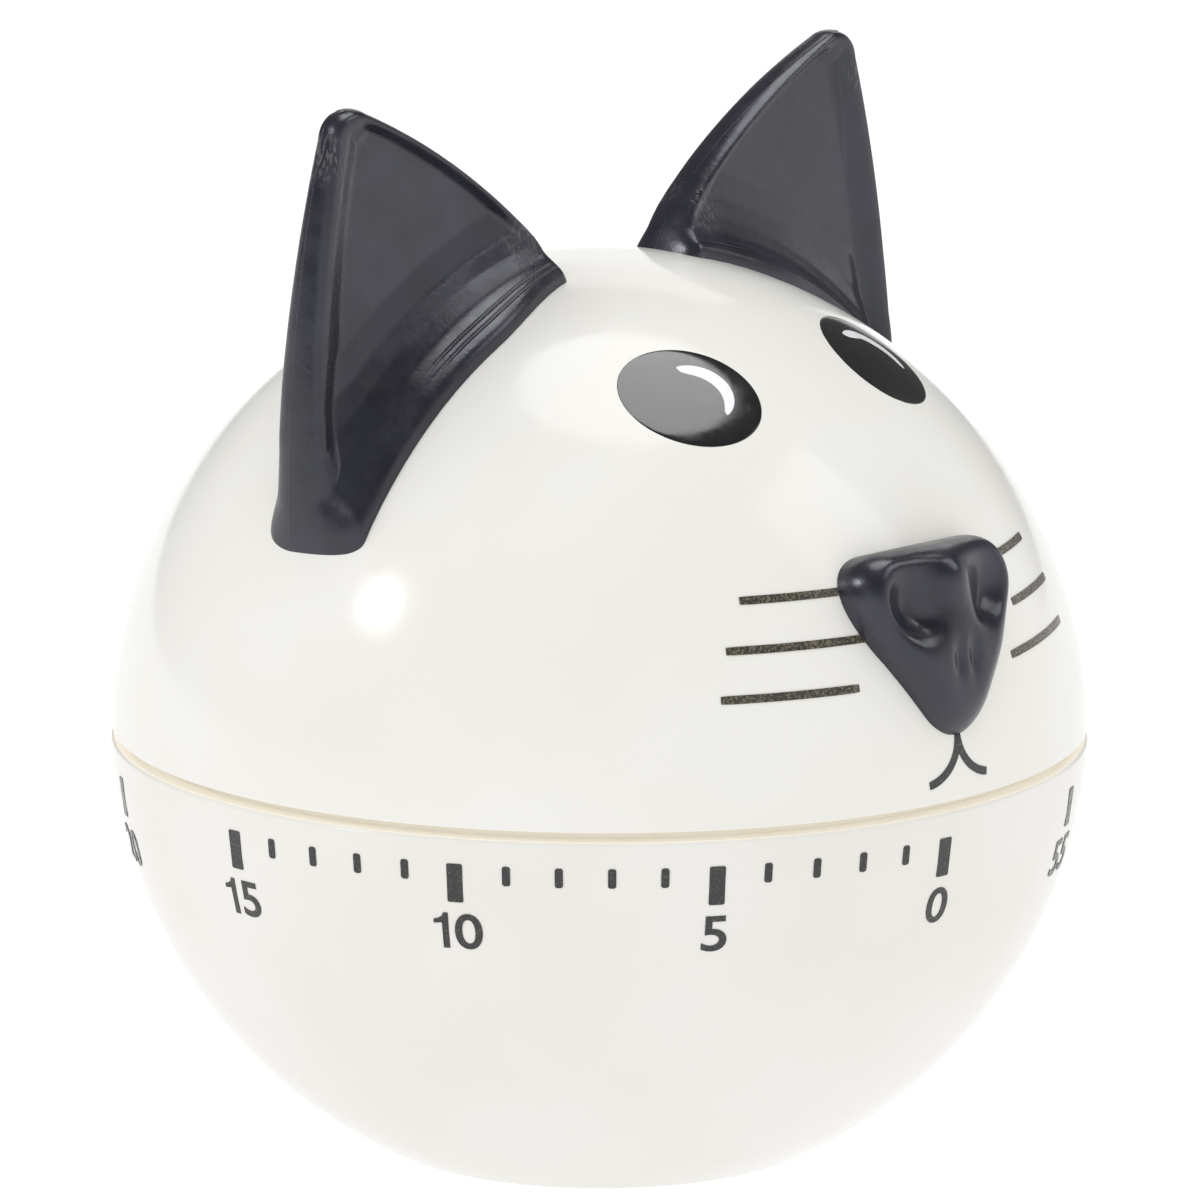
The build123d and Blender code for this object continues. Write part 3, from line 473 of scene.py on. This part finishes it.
sheet_steel = metal(
    "brushed_plate_steel", (0.52, 0.53, 0.54), (0.60, 0.60, 0.59),
    grain=0.08 * MM, low=0.28, high=0.42, depth=0.01 * MM, stretch=(60, 1, 1),
)
turned_steel = metal(
    "turned_arbor_steel", (0.56, 0.56, 0.57), (0.64, 0.64, 0.64),
    grain=0.1 * MM, low=0.18, high=0.3, depth=0.006 * MM, stretch=(20, 20, 1),
)
spring_steel = metal(
    "blued_spring_steel", (0.16, 0.19, 0.28), (0.24, 0.24, 0.30),
    grain=0.3 * MM, low=0.25, high=0.4, depth=0.006 * MM, stretch=(1, 1, 6),
)
zinc = metal(
    "zinc_plating", (0.66, 0.68, 0.70), (0.55, 0.57, 0.60),
    grain=0.4 * MM, low=0.24, high=0.4, depth=0.01 * MM,
)
nickel = metal(
    "nickelled_bell", (0.66, 0.63, 0.58), (0.72, 0.70, 0.66),
    grain=0.15 * MM, low=0.1, high=0.2, depth=0.004 * MM, stretch=(1, 1, 8),
)

paint(["lower_plate", "upper_plate"], sheet_steel)
paint(["pillar_1", "pillar_2", "pillar_3", "main_arbor", "second_arbor", "third_arbor"], turned_steel)
paint(["escape_arbor", "balance_arbor", "strike_arbor", "hammer_arbor", "click_post"], turned_steel)
paint(["spring_post", "trip_post", "stop_pin", "hammer_tail", "hammer_arm", "hammer_head"], turned_steel)
paint(["cam_disc", "trip_lever", "ratchet_wheel", "click", "pallet_anchor"], sheet_steel)
paint(["mainspring", "click_spring"], spring_steel)
paint(["base_screws", "pillar_nuts", "bell_post", "bell_nut"], zinc)
paint(["bell"], nickel)
for wheel in ("great_wheel", "second_wheel", "third_wheel", "escape_wheel", "strike_wheel"):
    paint([wheel], turned_brass(wheel))
for part in ("lower_bush", "centre_bush", "balance_bar"):
    paint([part], turned_brass(part))

# %% [markdown]
# ## Minute scale
# Twelve long ticks and twelve numbers run round the lower shell, just under the seam, and
# the first quarter of an hour has short minute ticks as well. They count up clockwise seen
# from above, so turning the head by five minutes brings the nose over 5. One tick of each
# size is made from a plane with its corners rounded, then copied.

# %% Ticks
turn_of_print = -2.2  # how far the print sits round from the face, in degrees
minute = 6.0
tick_top = 24.85 * MM


def base_up(z):
    """The angle above the lower ball's centre at which its surface is at height z."""
    return math.degrees(math.asin((z - base_centre.z) / base_radius))


def tick_blank(name, width, height, corner):
    """A flat tick with rounded corners, cut across so that it can follow the ball."""
    bpy.ops.object.select_all(action="DESELECT")
    bpy.ops.mesh.primitive_plane_add(size=1)
    blank = added(name)
    press(blank, lambda points: points * (width, height, 1))
    bpy.ops.object.mode_set(mode="EDIT")
    bpy.ops.mesh.select_all(action="SELECT")
    bpy.ops.mesh.bevel(offset=corner, segments=4, affect="VERTICES")
    bpy.ops.object.mode_set(mode="OBJECT")
    apply_modifier(blank, "SOLIDIFY", thickness=film, offset=1)
    return blank


def tick_ring(name, blank, counts, height):
    """Copies a tick to these minutes, lays the copies on the ball and joins them."""
    copies = []
    for count in counts:
        copy = blank.copy()
        copy.data = blank.data.copy()
        bpy.context.scene.collection.objects.link(copy)
        up = base_up(tick_top - height / 2)
        press(copy, patch_rule(base_centre, base_radius, turn_of_print - count * minute, up))
        copies.append(copy)
    bpy.ops.object.select_all(action="DESELECT")
    for copy in copies:
        copy.select_set(True)
    bpy.context.view_layer.objects.active = copies[0]
    bpy.ops.object.join()
    ring = added(name)
    bpy.data.objects.remove(blank)
    settle(ring, "base", ink_finish.material)


long_height, short_height = 2.5 * MM, 1.25 * MM
long_tick = tick_blank("long_tick", 1.0 * MM, long_height, 0.12 * MM)
tick_ring("five_minute_ticks", long_tick, range(0, 60, 5), long_height)
short_tick = tick_blank("short_tick", 0.5 * MM, short_height, 0.16 * MM)
tick_ring("minute_ticks", short_tick, [m for m in range(15) if m % 5], short_height)

# %% [markdown]
# The numbers are text in Blender's own plain font, thickened a little, made a mesh and
# brought to a height of 2.4 mm, and only then laid on the ball. That font has no flag on
# its 1, so the 1 of ten and fifteen is drawn instead: a round blank of nine corners is
# pressed into a stem with a small flag.

# %% Numbers
digit_height = 2.4 * MM
digit_top = 21.65 * MM
digit_widen = 1.14
stroke_grow = 0.012  # how much heavier the strokes are made, in the font's own size
one_outline = (  # in digit heights: the stem, then the flag
    (0.0, 0.0), (0.17, 0.0), (0.17, 1.0),
    (0.05, 1.0), (0.0, 0.9), (-0.1, 0.83), (-0.22, 0.8), (-0.22, 0.69), (0.0, 0.72),
)
one_place, digit_place = -0.40, 0.30  # in digit heights, sideways from the tick


def digits(name, body):
    """Text made into a flat mesh of the digit height, around the origin."""
    bpy.ops.object.select_all(action="DESELECT")
    bpy.ops.object.text_add()
    text = added(name)
    text.data.body = body
    text.data.align_x = "CENTER"
    text.data.offset = stroke_grow
    text.data.resolution_u = 8
    bpy.ops.object.convert(target="MESH")
    number = added(name)
    apply_modifier(number, "WELD", merge_threshold=0.0005)
    low = min(v.co.y for v in number.data.vertices)
    high = max(v.co.y for v in number.data.vertices)
    middle = (0, (low + high) / 2, 0)
    grow = digit_height / (high - low)
    return press(number, lambda points: (points - middle) * (grow * digit_widen, grow, 0))


def put_one_before(number):
    """Moves a digit aside and joins a flagged 1 before it."""
    press(number, lambda points: points + (digit_place * digit_height, 0, 0))
    bpy.ops.object.select_all(action="DESELECT")
    bpy.ops.mesh.primitive_circle_add(vertices=len(one_outline), radius=1, fill_type="NGON")
    one = added("one")
    corners = np.array([(x + one_place, y - 0.5, 0) for x, y in one_outline])
    press(one, lambda points: corners * digit_height)
    face_out(one)
    number.select_set(True)
    bpy.context.view_layer.objects.active = number
    bpy.ops.object.join()


def number_print(count):
    """The number of minutes, laid below its tick."""
    name = "number_%02d" % count
    if count in (10, 15):
        number = digits(name, str(count - 10))
        put_one_before(number)
    else:
        number = digits(name, str(count))
    apply_modifier(number, "SOLIDIFY", thickness=film, offset=1)
    up = base_up(digit_top - digit_height / 2)
    press(number, patch_rule(base_centre, base_radius, turn_of_print - count * minute, up))
    face_out(number)
    settle(number, "base", ink_finish.material)


for count in range(0, 60, 5):
    number_print(count)

# %% [markdown]
# ## Eyes
# Each eye is an oval of glossy black, printed high on the dome and slightly wider than it
# is tall, with a white crescent. A ball primitive pressed almost flat makes the oval: its
# edge thins away as ink does, and its rings of faces follow the dome smoothly.

# %% Eyes
left_eye_place, right_eye_place = (-27.9, 54.5), (28.9, 54.9)  # degrees round, degrees up
eye_long, eye_short = 4.6 * MM, 4.0 * MM
eye_slant = 146.8
crescent_start, crescent_stop = -43, 97  # degrees round the middle of the eye
# Its outer edge, in mm from that middle: where its lower end is, how far it bows out halfway,
# and how much nearer its upper end is. Then its width, and how much wider its upper end is.
crescent_reach, crescent_bow, crescent_near = 2.62, 0.22, 0.17
crescent_width, crescent_widen = 0.72, 0.42


def eye_print(name, around, up):
    """One oval eye, its outer end lower than its inner end."""
    slant = math.radians(eye_slant if around < 0 else 180 - eye_slant)
    bpy.ops.object.select_all(action="DESELECT")
    bpy.ops.mesh.primitive_uv_sphere_add(segments=96, ring_count=24, radius=1)
    eye = added(name)

    def flatten(points):
        x, y = points[:, 0] * eye_long, points[:, 1] * eye_short
        turned = (x * math.cos(slant) - y * math.sin(slant), x * math.sin(slant) + y * math.cos(slant))
        return np.stack([*turned, points[:, 2] * film], axis=-1)

    press(eye, flatten)
    press(eye, patch_rule(head_centre, head_radius, around, up))
    settle(eye, "head", eye_finish.material, sharp=180)


eye_print("left_eye", *left_eye_place)
eye_print("right_eye", *right_eye_place)


def crescent_print(name, around, up):
    """A white crescent, from a grid bent round the middle of the eye, wider at its top end."""
    bpy.ops.object.select_all(action="DESELECT")
    bpy.ops.mesh.primitive_grid_add(x_subdivisions=40, y_subdivisions=4, size=2)
    crescent = added(name)

    def bend(points):
        along, across = (points[:, 0] + 1) / 2, (points[:, 1] + 1) / 2
        angle = np.radians(crescent_start + (crescent_stop - crescent_start) * along)
        swell = np.sqrt(np.clip(1 - (2 * along - 1) ** 2, 0, 1))
        outer = (crescent_reach + crescent_bow * swell - crescent_near * along) * MM
        inner = outer - (crescent_width + crescent_widen * along) * swell**0.75 * MM
        reach = inner + (outer - inner) * across
        return np.stack([reach * np.cos(angle), reach * np.sin(angle), 0 * angle], axis=-1)

    press(crescent, bend)
    apply_modifier(crescent, "WELD", merge_threshold=0.002 * MM)
    apply_modifier(crescent, "SOLIDIFY", thickness=film / 2, offset=1)
    face_out(crescent)
    lift = 0.9 * film
    press(crescent, lambda points: points + (0, 0, lift))
    press(crescent, patch_rule(head_centre, head_radius, around, up))
    settle(crescent, "head", white_finish.material)


crescent_print("left_eye_crescent", *left_eye_place)
crescent_print("right_eye_crescent", *right_eye_place)

# %% [markdown]
# ## Whiskers and mouth
# Three straight whiskers a side run almost level round the dome, and a small mouth hangs from the
# nose like an upside-down Y. Each line is a long grid, half a millimetre wide. The whiskers
# are laid with the band rule. The two arms of the mouth follow quarter ovals and are laid
# with the patch rule.

# %% Whiskers
line_width = 0.52 * MM
end_round = 0.1  # the share of its width that a line loses at its very ends
whisker_ups = (27.4, 21.7, 16.2)
right_lift = 0.35  # the right side is printed a little higher, in degrees, and rises outwards
right_slope = 0.05
left_whiskers = ((-27.8, -12.0), (-30.3, -10.0), (-31.4, -13.6))
right_whiskers = ((17.6, 28.0), (17.0, 30.5), (13.2, 30.8))


def half_width(points):
    """Half the width of a line of ink along a blank, a little less at its ends."""
    return line_width / 2 * (1 - end_round * np.abs(points[:, 0]) ** 12)


def line_blank(name, rule):
    """A thin line of ink: a long grid with rounded ends, bent by a rule."""
    bpy.ops.object.select_all(action="DESELECT")
    bpy.ops.mesh.primitive_grid_add(x_subdivisions=36, y_subdivisions=2, size=2)
    line = added(name)
    press(line, rule)
    apply_modifier(line, "SOLIDIFY", thickness=film, offset=1)
    return line


def whisker(name, up, start, stop, slope=0.0):
    """One whisker, round the dome between two directions, level or with a slight slope."""
    length = math.radians(stop - start) * head_radius * math.cos(math.radians(up))

    def lengthen(points):
        x = points[:, 0] * length / 2
        return np.stack([x, x * slope + points[:, 1] * half_width(points), 0 * x], axis=-1)

    line = line_blank(name, lengthen)
    press(line, band_rule(head_centre, head_radius, (start + stop) / 2, up))
    settle(line, "head", whisker_ink.material)


for row, up in enumerate(whisker_ups):
    whisker("left_whisker_%d" % (row + 1), up, *left_whiskers[row])
    whisker("right_whisker_%d" % (row + 1), up + right_lift, *right_whiskers[row], right_slope)

# %% Mouth
mouth_around, mouth_up = 0.15, 9.2
arm_turn = 82  # how many degrees of a quarter oval an arm follows


def mouth_arm(name, side, reach, drop):
    """One arm of the mouth, a quarter oval that leaves the nose straight down."""
    def curl(points):
        angle = np.radians(arm_turn) * (points[:, 0] + 1) / 2
        x = side * reach * (1 - np.cos(angle))
        y = -drop * np.sin(angle)
        slope = np.stack([side * reach * np.sin(angle), -drop * np.cos(angle)], axis=-1)
        slope /= np.linalg.norm(slope, axis=1)[:, None]
        off = points[:, 1] * half_width(points)
        return np.stack([x - slope[:, 1] * off, y + slope[:, 0] * off, 0 * x], axis=-1)

    arm = line_blank(name, curl)
    face_out(arm)
    press(arm, patch_rule(head_centre, head_radius, mouth_around, mouth_up))
    settle(arm, "head", ink_finish.material)


mouth_arm("mouth_left_arm", -1, 3.1 * MM, 2.9 * MM)
mouth_arm("mouth_right_arm", 1, 2.9 * MM, 2.75 * MM)

# %% [markdown]
# ## Ears
# An ear is one moulding: a plate with a rolled rim round a shallow dish, and a foot that
# flares out before and behind where it meets the dome. It is drawn in mm around the centre
# of the head's ball, because the foot follows that ball: every height on its foot is a
# distance from the centre. A ball primitive is pressed into it. The ball's top becomes the
# tip, its rings become slices across the ear, and its bottom is closed inside the dome.

# %% Helpers: arcs and distances in the ear's plane
def arc_through(start, middle, end, count=60):
    """Points along the arc that starts, passes and ends at three given points."""
    (ax, ay), (bx, by), (cx, cy) = start, middle, end
    d = 2 * (ax * (by - cy) + bx * (cy - ay) + cx * (ay - by))
    ux = ((ax**2 + ay**2) * (by - cy) + (bx**2 + by**2) * (cy - ay) + (cx**2 + cy**2) * (ay - by)) / d
    uy = ((ax**2 + ay**2) * (cx - bx) + (bx**2 + by**2) * (ax - cx) + (cx**2 + cy**2) * (bx - ax)) / d
    reach = math.hypot(ax - ux, ay - uy)
    turns = np.unwrap([math.atan2(y - uy, x - ux) for x, y in (start, middle, end)])
    angle = np.interp(np.linspace(0, 2, count), (0, 1, 2), turns)
    return np.stack([ux + reach * np.cos(angle), uy + reach * np.sin(angle)], axis=-1)


def along(line, shares):
    """Points at these shares of a line's length."""
    steps = np.r_[0, np.cumsum(np.linalg.norm(np.diff(line, axis=0), axis=1))]
    return np.stack([np.interp(shares * steps[-1], steps, line[:, k]) for k in (0, 1)], axis=-1)


def distance_to(line, points):
    """The distance of each point from the nearest stretch of a line."""
    start, step = line[:-1], np.diff(line, axis=0)
    best = np.full(len(points), np.inf)
    for a, d in zip(start, step):
        share = np.clip(((points - a) @ d) / (d @ d), 0, 1)
        best = np.minimum(best, np.linalg.norm(points - a - share[:, None] * d, axis=1))
    return best


# %% The ear's outline
outer_foot, inner_foot = (26.6, 13.2), (5.0, 29.27)
tip_point = (22.6, 42.6)
outer_line = np.vstack([
    arc_through(outer_foot, (26.25, 28.5), (24.0, 40.9)),
    arc_through((24.0, 40.9), (23.6, 42.0), tip_point, 16)[1:],
])
inner_line = np.vstack([
    arc_through(inner_foot, (5.7, 31.3), (7.0, 33.3), 20),
    arc_through((7.0, 33.3), (12.9, 38.0), (21.0, 42.4))[1:],
    arc_through((21.0, 42.4), (21.85, 42.68), tip_point, 16)[1:],
])
print("ear: outer edge %d points, inner edge %d points" % (len(outer_line), len(inner_line)))


# %% The ear's thickness
def rounded(line, values, soften=0.12):
    """Heights along a broken line, with its corners rounded off."""
    places, heights = zip(*line)
    shifts = np.linspace(-soften, soften, 9)
    return np.mean([np.interp(values + s, places, heights) for s in shifts], axis=0)


def ease(value, low, high):
    """Goes softly from nought to one between two values."""
    t = np.clip((value - low) / (high - low), 0, 1)
    return t * t * (3 - 2 * t)


# Each pair is a distance from the ball's centre and how deep the ear is there.
foot_section = ((29.0, 4.3), (31.1, 4.3), (31.5, 4.15), (31.75, 3.85), (32.5, 2.35), (32.65, 2.1))
rim_section = foot_section + ((34.0, 1.45), (35.5, 1.1), (38.0, 0.85), (50.0, 0.1))
floor_section = foot_section + ((33.6, 1.3), (34.8, 0.7), (36.5, 0.25), (39.5, 0.0), (50.0, -0.55))
back_section = ((29.0, 3.9), (31.0, 3.6), (32.2, 2.9), (34.0, 2.5), (37.0, 2.4), (50.0, 1.5))
plate = 0.85  # the foot flares out from here
edge_middle = 0.75  # where the rounded edge is, behind the ball's middle plane
valley_depth, valley_place, valley_width = 0.5, 2.0, 0.9  # the hollow beside the outer rim


def ear_thickness(x, z, front):
    """How far the ear's front lies before the ball's middle plane, or its back behind it."""
    flat = np.stack([x, z], axis=-1)
    reach = np.hypot(x, z)
    from_outer = distance_to(outer_line, flat)
    from_inner = distance_to(inner_line, flat)
    edge = np.minimum(from_outer, from_inner)
    lean = np.degrees(np.arctan2(x, z))
    skirt = 1 - ease(reach, 31.5, 35.0)  # one at the foot, and nought up on the plate
    flare = 0.5 + 0.5 * ease(lean, 8.0, 27.0)  # half as much flare at the inner end
    share = np.clip(edge / (0.5 + 0.6 * skirt * flare), 0, 1)
    edge_round = np.sqrt(1 - (1 - share) ** 2)
    if front:
        rim, floor = rounded(rim_section, reach), rounded(floor_section, reach)
        dish = ease(from_outer, 0.7, 2.7) * ease(from_inner, 0.35, 1.1)
        depth = rim + (floor - rim) * dish
        depth = np.where(depth > plate, plate + (depth - plate) * flare, depth)
        valley = ease(reach, 30.4, 33.6) * (1 - ease(reach, 34.0, 38.0))
        hollow = valley * np.exp(-((from_outer - valley_place) / valley_width) ** 2)
        depth = depth - valley_depth * hollow
        return -(-edge_middle + (depth + edge_middle) * edge_round)
    thin = 0.6 + 0.4 * ease(lean, 8.0, 28.0)
    return edge_middle + (rounded(back_section, reach) - edge_middle) * edge_round * thin


# %% Press a ball into each ear
ear_rings, ear_segments = 150, 180
ear_turn = 1.2  # the pair of ears stands this many degrees round from the printed face


def ear_rule(side):
    """Turns the points of a unit ball into the points of an ear, in metres."""
    def rule(points):
        down = np.arccos(np.clip(points[:, 2], -1, 1)) / math.pi
        last_ring = 1 - 1 / ear_rings
        closing = down > last_ring + 0.5 / ear_rings
        # The rings stand close together at the tip, where the outline is round.
        rise = np.interp(down / last_ring, (0, 0.12, 0.55, 1), (1, 0.955, 0.36, 0))
        wide = np.maximum(np.hypot(points[:, 0], points[:, 1]), 1e-9)
        across = np.where(closing, 0, points[:, 0] / wide)
        share = (across + 1) / 2
        outer, inner = along(outer_line, rise), along(inner_line, rise)
        foot_turn = np.interp(share, (0, 1), [math.atan2(*inner_foot), math.atan2(*outer_foot)])
        foot_reach = np.interp(share, (0, 1), [math.hypot(*inner_foot), math.hypot(*outer_foot)])
        foot = np.stack([foot_reach * np.sin(foot_turn), foot_reach * np.cos(foot_turn)], axis=-1)
        s, v = share[:, None], rise[:, None]
        tip = np.array(tip_point)
        chord = (1 - s) * np.array(inner_foot) + s * np.array(outer_foot)
        corners = (1 - v) * chord + v * tip
        flat = (1 - v) * foot + v * tip + (1 - s) * inner + s * outer - corners
        x, z = flat[:, 0], flat[:, 1]
        front = points[:, 1] < 0
        y = np.where(front, ear_thickness(x, z, True), ear_thickness(x, z, False))
        y = np.where(closing, 0, y)
        turn = math.radians(ear_turn)
        turned_x = side * x * math.cos(turn) - y * math.sin(turn)
        turned_y = side * x * math.sin(turn) + y * math.cos(turn)
        return np.array(head_centre) + np.stack([turned_x, turned_y, z], axis=-1) * MM

    return rule


def make_ear(name, node, side):
    """One ear, in place of its plain solid."""
    bpy.ops.object.select_all(action="DESELECT")
    bpy.ops.mesh.primitive_uv_sphere_add(segments=ear_segments, ring_count=ear_rings, radius=1)
    ear = added(name)
    press(ear, ear_rule(side))
    face_out(ear)
    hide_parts(node)
    settle(ear, "head", ear_finish.material, sharp=180)


make_ear("right_ear_moulding", "right_ear", 1)
make_ear("left_ear_moulding", "left_ear", -1)

# %% [markdown]
# ## Nose
# The nose is a separate moulding, a rounded triangle with its broad side up. Its walls
# lean in to a rim, and inside the rim the front is sculpted: a bulb between two nostrils
# at the top and two short grooves below them. It is pressed from a ball whose pole is the
# middle of the front.

# %% The nose
nose_up = 19.5
nose_sides = ((90, 6.4), (213, 4.35), (327, 4.35))  # direction and distance of each side, in mm
nose_section = ((-7.0, 0.9), (-4.0, 1.55), (0.0, 2.35), (3.0, 2.75), (7.0, 2.9))  # height up the front
nose_sink, nose_end = -0.4, -1.8  # the wall's foot and the closed end, under the dome's skin
wall_foot, closed_end = 0.82, 0.97  # where these two are on the ball, from pole to pole


def nose_reach(angle):
    """The nose's outline: its distance from the middle in each direction, corners rounded."""
    total = 0
    for direction, away in nose_sides:
        total = total + (np.clip(np.cos(angle - math.radians(direction)), 0, None) / away) ** 2
    return total**-0.5


def nose_front(x, y):
    """The height of the sculpted front above the dome, higher at the top than at the chin."""
    def lump(cx, cy, wide, tall):
        """A round hill one high, at this place and of this size, in mm."""
        return np.exp(-((x - cx) / wide) ** 2 - ((y - cy) / tall) ** 2)

    height = rounded(nose_section, y, 1.5)
    height = height + 0.55 * lump(0, 4.0, 1.4, 1.5)  # the bulb
    for side in (-1, 1):
        height = height - 1.4 * lump(side * 3.5, 2.6, 1.75, 2.0)  # a nostril
        height = height - 0.4 * lump(side * 2.5, 1.5, 0.9, 0.9)  # its deepest spot
        height = height - 0.3 * lump(side * 0.65, -1.2, 0.5, 1.1)  # a groove below
    return height


def nose_rule(points):
    """Turns the points of a unit ball into the points of the nose, flat, in metres."""
    down = np.arccos(np.clip(points[:, 2], -1, 1)) / math.pi
    angle = np.arctan2(points[:, 1], points[:, 0])
    reach = nose_reach(angle)
    share = np.interp(down, (0, 0.5, wall_foot, closed_end, 1), (0, 0.70, 1.0, 1.0, 0))
    x, y = reach * share * np.cos(angle), reach * share * np.sin(angle)
    rim = 0.6 + 0.15 * ease(y, 0.0, 3.5)  # the share at which the wall starts to fall
    lean = np.clip((share - rim) / (1 - rim), 0, 1)
    wall = (1 - lean**2.2) ** (1 / 2.2)
    fall = (x**2 + y**2) / (2 * head_radius / MM)
    height = (nose_front(x, y) - nose_sink) * wall + nose_sink
    closed = np.interp(down, (wall_foot, closed_end), (nose_sink, nose_end))
    height = np.where(down > wall_foot, closed, height) - fall
    return np.stack([x, y, height], axis=-1) * MM


def make_nose():
    """The nose moulding, stood on the dome."""
    bpy.ops.object.select_all(action="DESELECT")
    bpy.ops.mesh.primitive_uv_sphere_add(segments=144, ring_count=100, radius=1)
    nose = added("nose_moulding")
    press(nose, nose_rule)
    out = way(0, nose_up)
    rise = np.array([0, math.sin(math.radians(nose_up)), math.cos(math.radians(nose_up))])

    def stand(points):
        right = np.array([1, 0, 0])
        spot = np.array(head_centre) + head_radius * out
        return spot + points[:, :1] * right + points[:, 1:2] * rise + points[:, 2:3] * out

    press(nose, stand)
    face_out(nose)
    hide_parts("nose")
    settle(nose, "head", nose_finish.material, sharp=180)


make_nose()

# %% [markdown]
# ## Floor, light and camera
# The timer stands on a white light table, so the floor glows and no shadow is left. A white
# surround lights it evenly, but glossy surfaces see it dark except low down in front, so that
# the black mouldings keep their depth. A small round softbox to the left gives the bright
# spot on the cheek, a larger one to the right gives the soft patch above the nose, a wide
# overhead one shows in the glossy eyes, and a white backdrop brightens the far edge of the
# ball.

# %% Floor and surround
bpy.context.scene.view_settings.view_transform = "Standard"
bpy.ops.object.select_all(action="DESELECT")
bpy.ops.mesh.primitive_plane_add(size=6)
floor = added("white_floor")
floor_finish = Finish("floor_white", Roughness=0.6, Emission_Strength=0.88)
floor_clouds = floor_finish.scale(floor_finish.cloud(0.2), 0.3, 0.7)
floor_finish.colour(floor_finish.mix(floor_clouds, (0.15, 0.15, 0.15), (0.17, 0.17, 0.17)))
floor_finish.shader.inputs["Emission Color"].default_value = (1, 1, 1, 1)
floor.data.materials.append(floor_finish.material)

world = bpy.data.worlds.new("white_surround")
world.use_nodes = True
background = world.node_tree.nodes["Background"]
background.inputs["Color"].default_value = (1, 1, 1, 1)
surround_light = 0.97  # what the walls give to the plastic
low_wall, high_wall = 0.95, 0.12  # what glossy surfaces see low down in front, and elsewhere
direction = world.node_tree.nodes.new("ShaderNodeTexCoord")
upward = world.node_tree.nodes.new("ShaderNodeSeparateXYZ")
low_down = world.node_tree.nodes.new("ShaderNodeMapRange")
in_front = world.node_tree.nodes.new("ShaderNodeMapRange")
for share, edges in ((low_down, (0.0, 0.6, 1, 0)), (in_front, (-0.1, 0.3, 1, 0))):
    share.interpolation_type = "SMOOTHSTEP"
    for socket, number in zip(share.inputs[1:5], edges):
        socket.default_value = number
both = world.node_tree.nodes.new("ShaderNodeMath")
both.operation = "MULTIPLY"
wall = world.node_tree.nodes.new("ShaderNodeMapRange")
wall.inputs["To Min"].default_value = high_wall
wall.inputs["To Max"].default_value = low_wall
ray = world.node_tree.nodes.new("ShaderNodeLightPath")
by_gloss = world.node_tree.nodes.new("ShaderNodeMix")
by_gloss.inputs[2].default_value = surround_light
by_camera = world.node_tree.nodes.new("ShaderNodeMix")
by_camera.inputs[3].default_value = 1.0
for source, target in (
    (direction.outputs["Generated"], upward.inputs[0]),
    (upward.outputs["Z"], low_down.inputs["Value"]),
    (upward.outputs["Y"], in_front.inputs["Value"]),
    (low_down.outputs["Result"], both.inputs[0]),
    (in_front.outputs["Result"], both.inputs[1]),
    (both.outputs[0], wall.inputs["Value"]),
    (ray.outputs["Is Glossy Ray"], by_gloss.inputs[0]),
    (wall.outputs["Result"], by_gloss.inputs[3]),
    (ray.outputs["Is Camera Ray"], by_camera.inputs[0]),
    (by_gloss.outputs[0], by_camera.inputs[2]),
    (by_camera.outputs[0], background.inputs["Strength"]),
):
    world.node_tree.links.new(source, target)
bpy.context.scene.world = world


# %% Softboxes
def softbox(name, around, up, distance, size, radiance, shape="DISK", gloss_only=False, length=None):
    """An area light in that direction from the head, facing it, of a given brightness."""
    spot = head_centre + Vector(way(around, up)) * distance
    bpy.ops.object.select_all(action="DESELECT")
    bpy.ops.object.light_add(type="AREA", location=spot)
    lamp = added(name)
    lamp.rotation_euler = (spot - head_centre).to_track_quat("Z", "Y").to_euler()
    lamp.data.shape = shape
    lamp.data.size = size
    lamp.data.size_y = length or size
    area = size * lamp.data.size_y * (math.pi / 4 if shape == "DISK" else 1)
    lamp.data.energy = radiance * math.pi * area
    lamp.visible_camera = False
    lamp.visible_diffuse = not gloss_only
    print("%s: %.2f W" % (name, lamp.data.energy))


softbox("cheek_softbox", -108.6, 32.6, 0.8, 0.20, 5.0)
softbox("cheek_gleam", -108.6, 32.6, 0.78, 0.13, 14.0, gloss_only=True)
softbox("nose_softbox", 38.0, 44.0, 0.8, 0.36, 2.2, "SQUARE", gloss_only=True)
softbox("overhead_softbox", 112.0, 78.0, 0.8, 0.53, 2.9, gloss_only=True)
softbox("overhead_fill", 112.0, 78.0, 0.82, 0.53, 0.9)
softbox("backdrop", 134.0, 10.0, 0.8, 0.38, 0.85, "RECTANGLE", gloss_only=True, length=0.9)

# %% [markdown]
# The camera looks from the left front, a little above, with a long lens from about 60 cm. It
# is aimed at the ball's centre and then tilted up and rolled by small amounts.

# %% Camera
camera_around, camera_up = -45.7, 12.99
camera_distance = 617.08 * MM
camera_tilt, camera_roll = 0.783, 0.24  # in degrees
lens_length = 290.71
back = Vector(way(camera_around, camera_up))
bpy.ops.object.select_all(action="DESELECT")
bpy.ops.object.camera_add(location=head_centre + back * camera_distance)
camera = added("front_camera")
aim = (-back).to_track_quat("-Z", "Y").to_matrix()
tilt = Matrix.Rotation(math.radians(camera_tilt), 3, "X")
roll = Matrix.Rotation(math.radians(camera_roll), 3, "Z")
camera.rotation_euler = (aim @ tilt @ roll).to_euler()
camera.data.lens = lens_length
camera.data.sensor_width = 36
camera.data.dof.use_dof = False
camera.data.clip_end = 50
bpy.context.scene.camera = camera
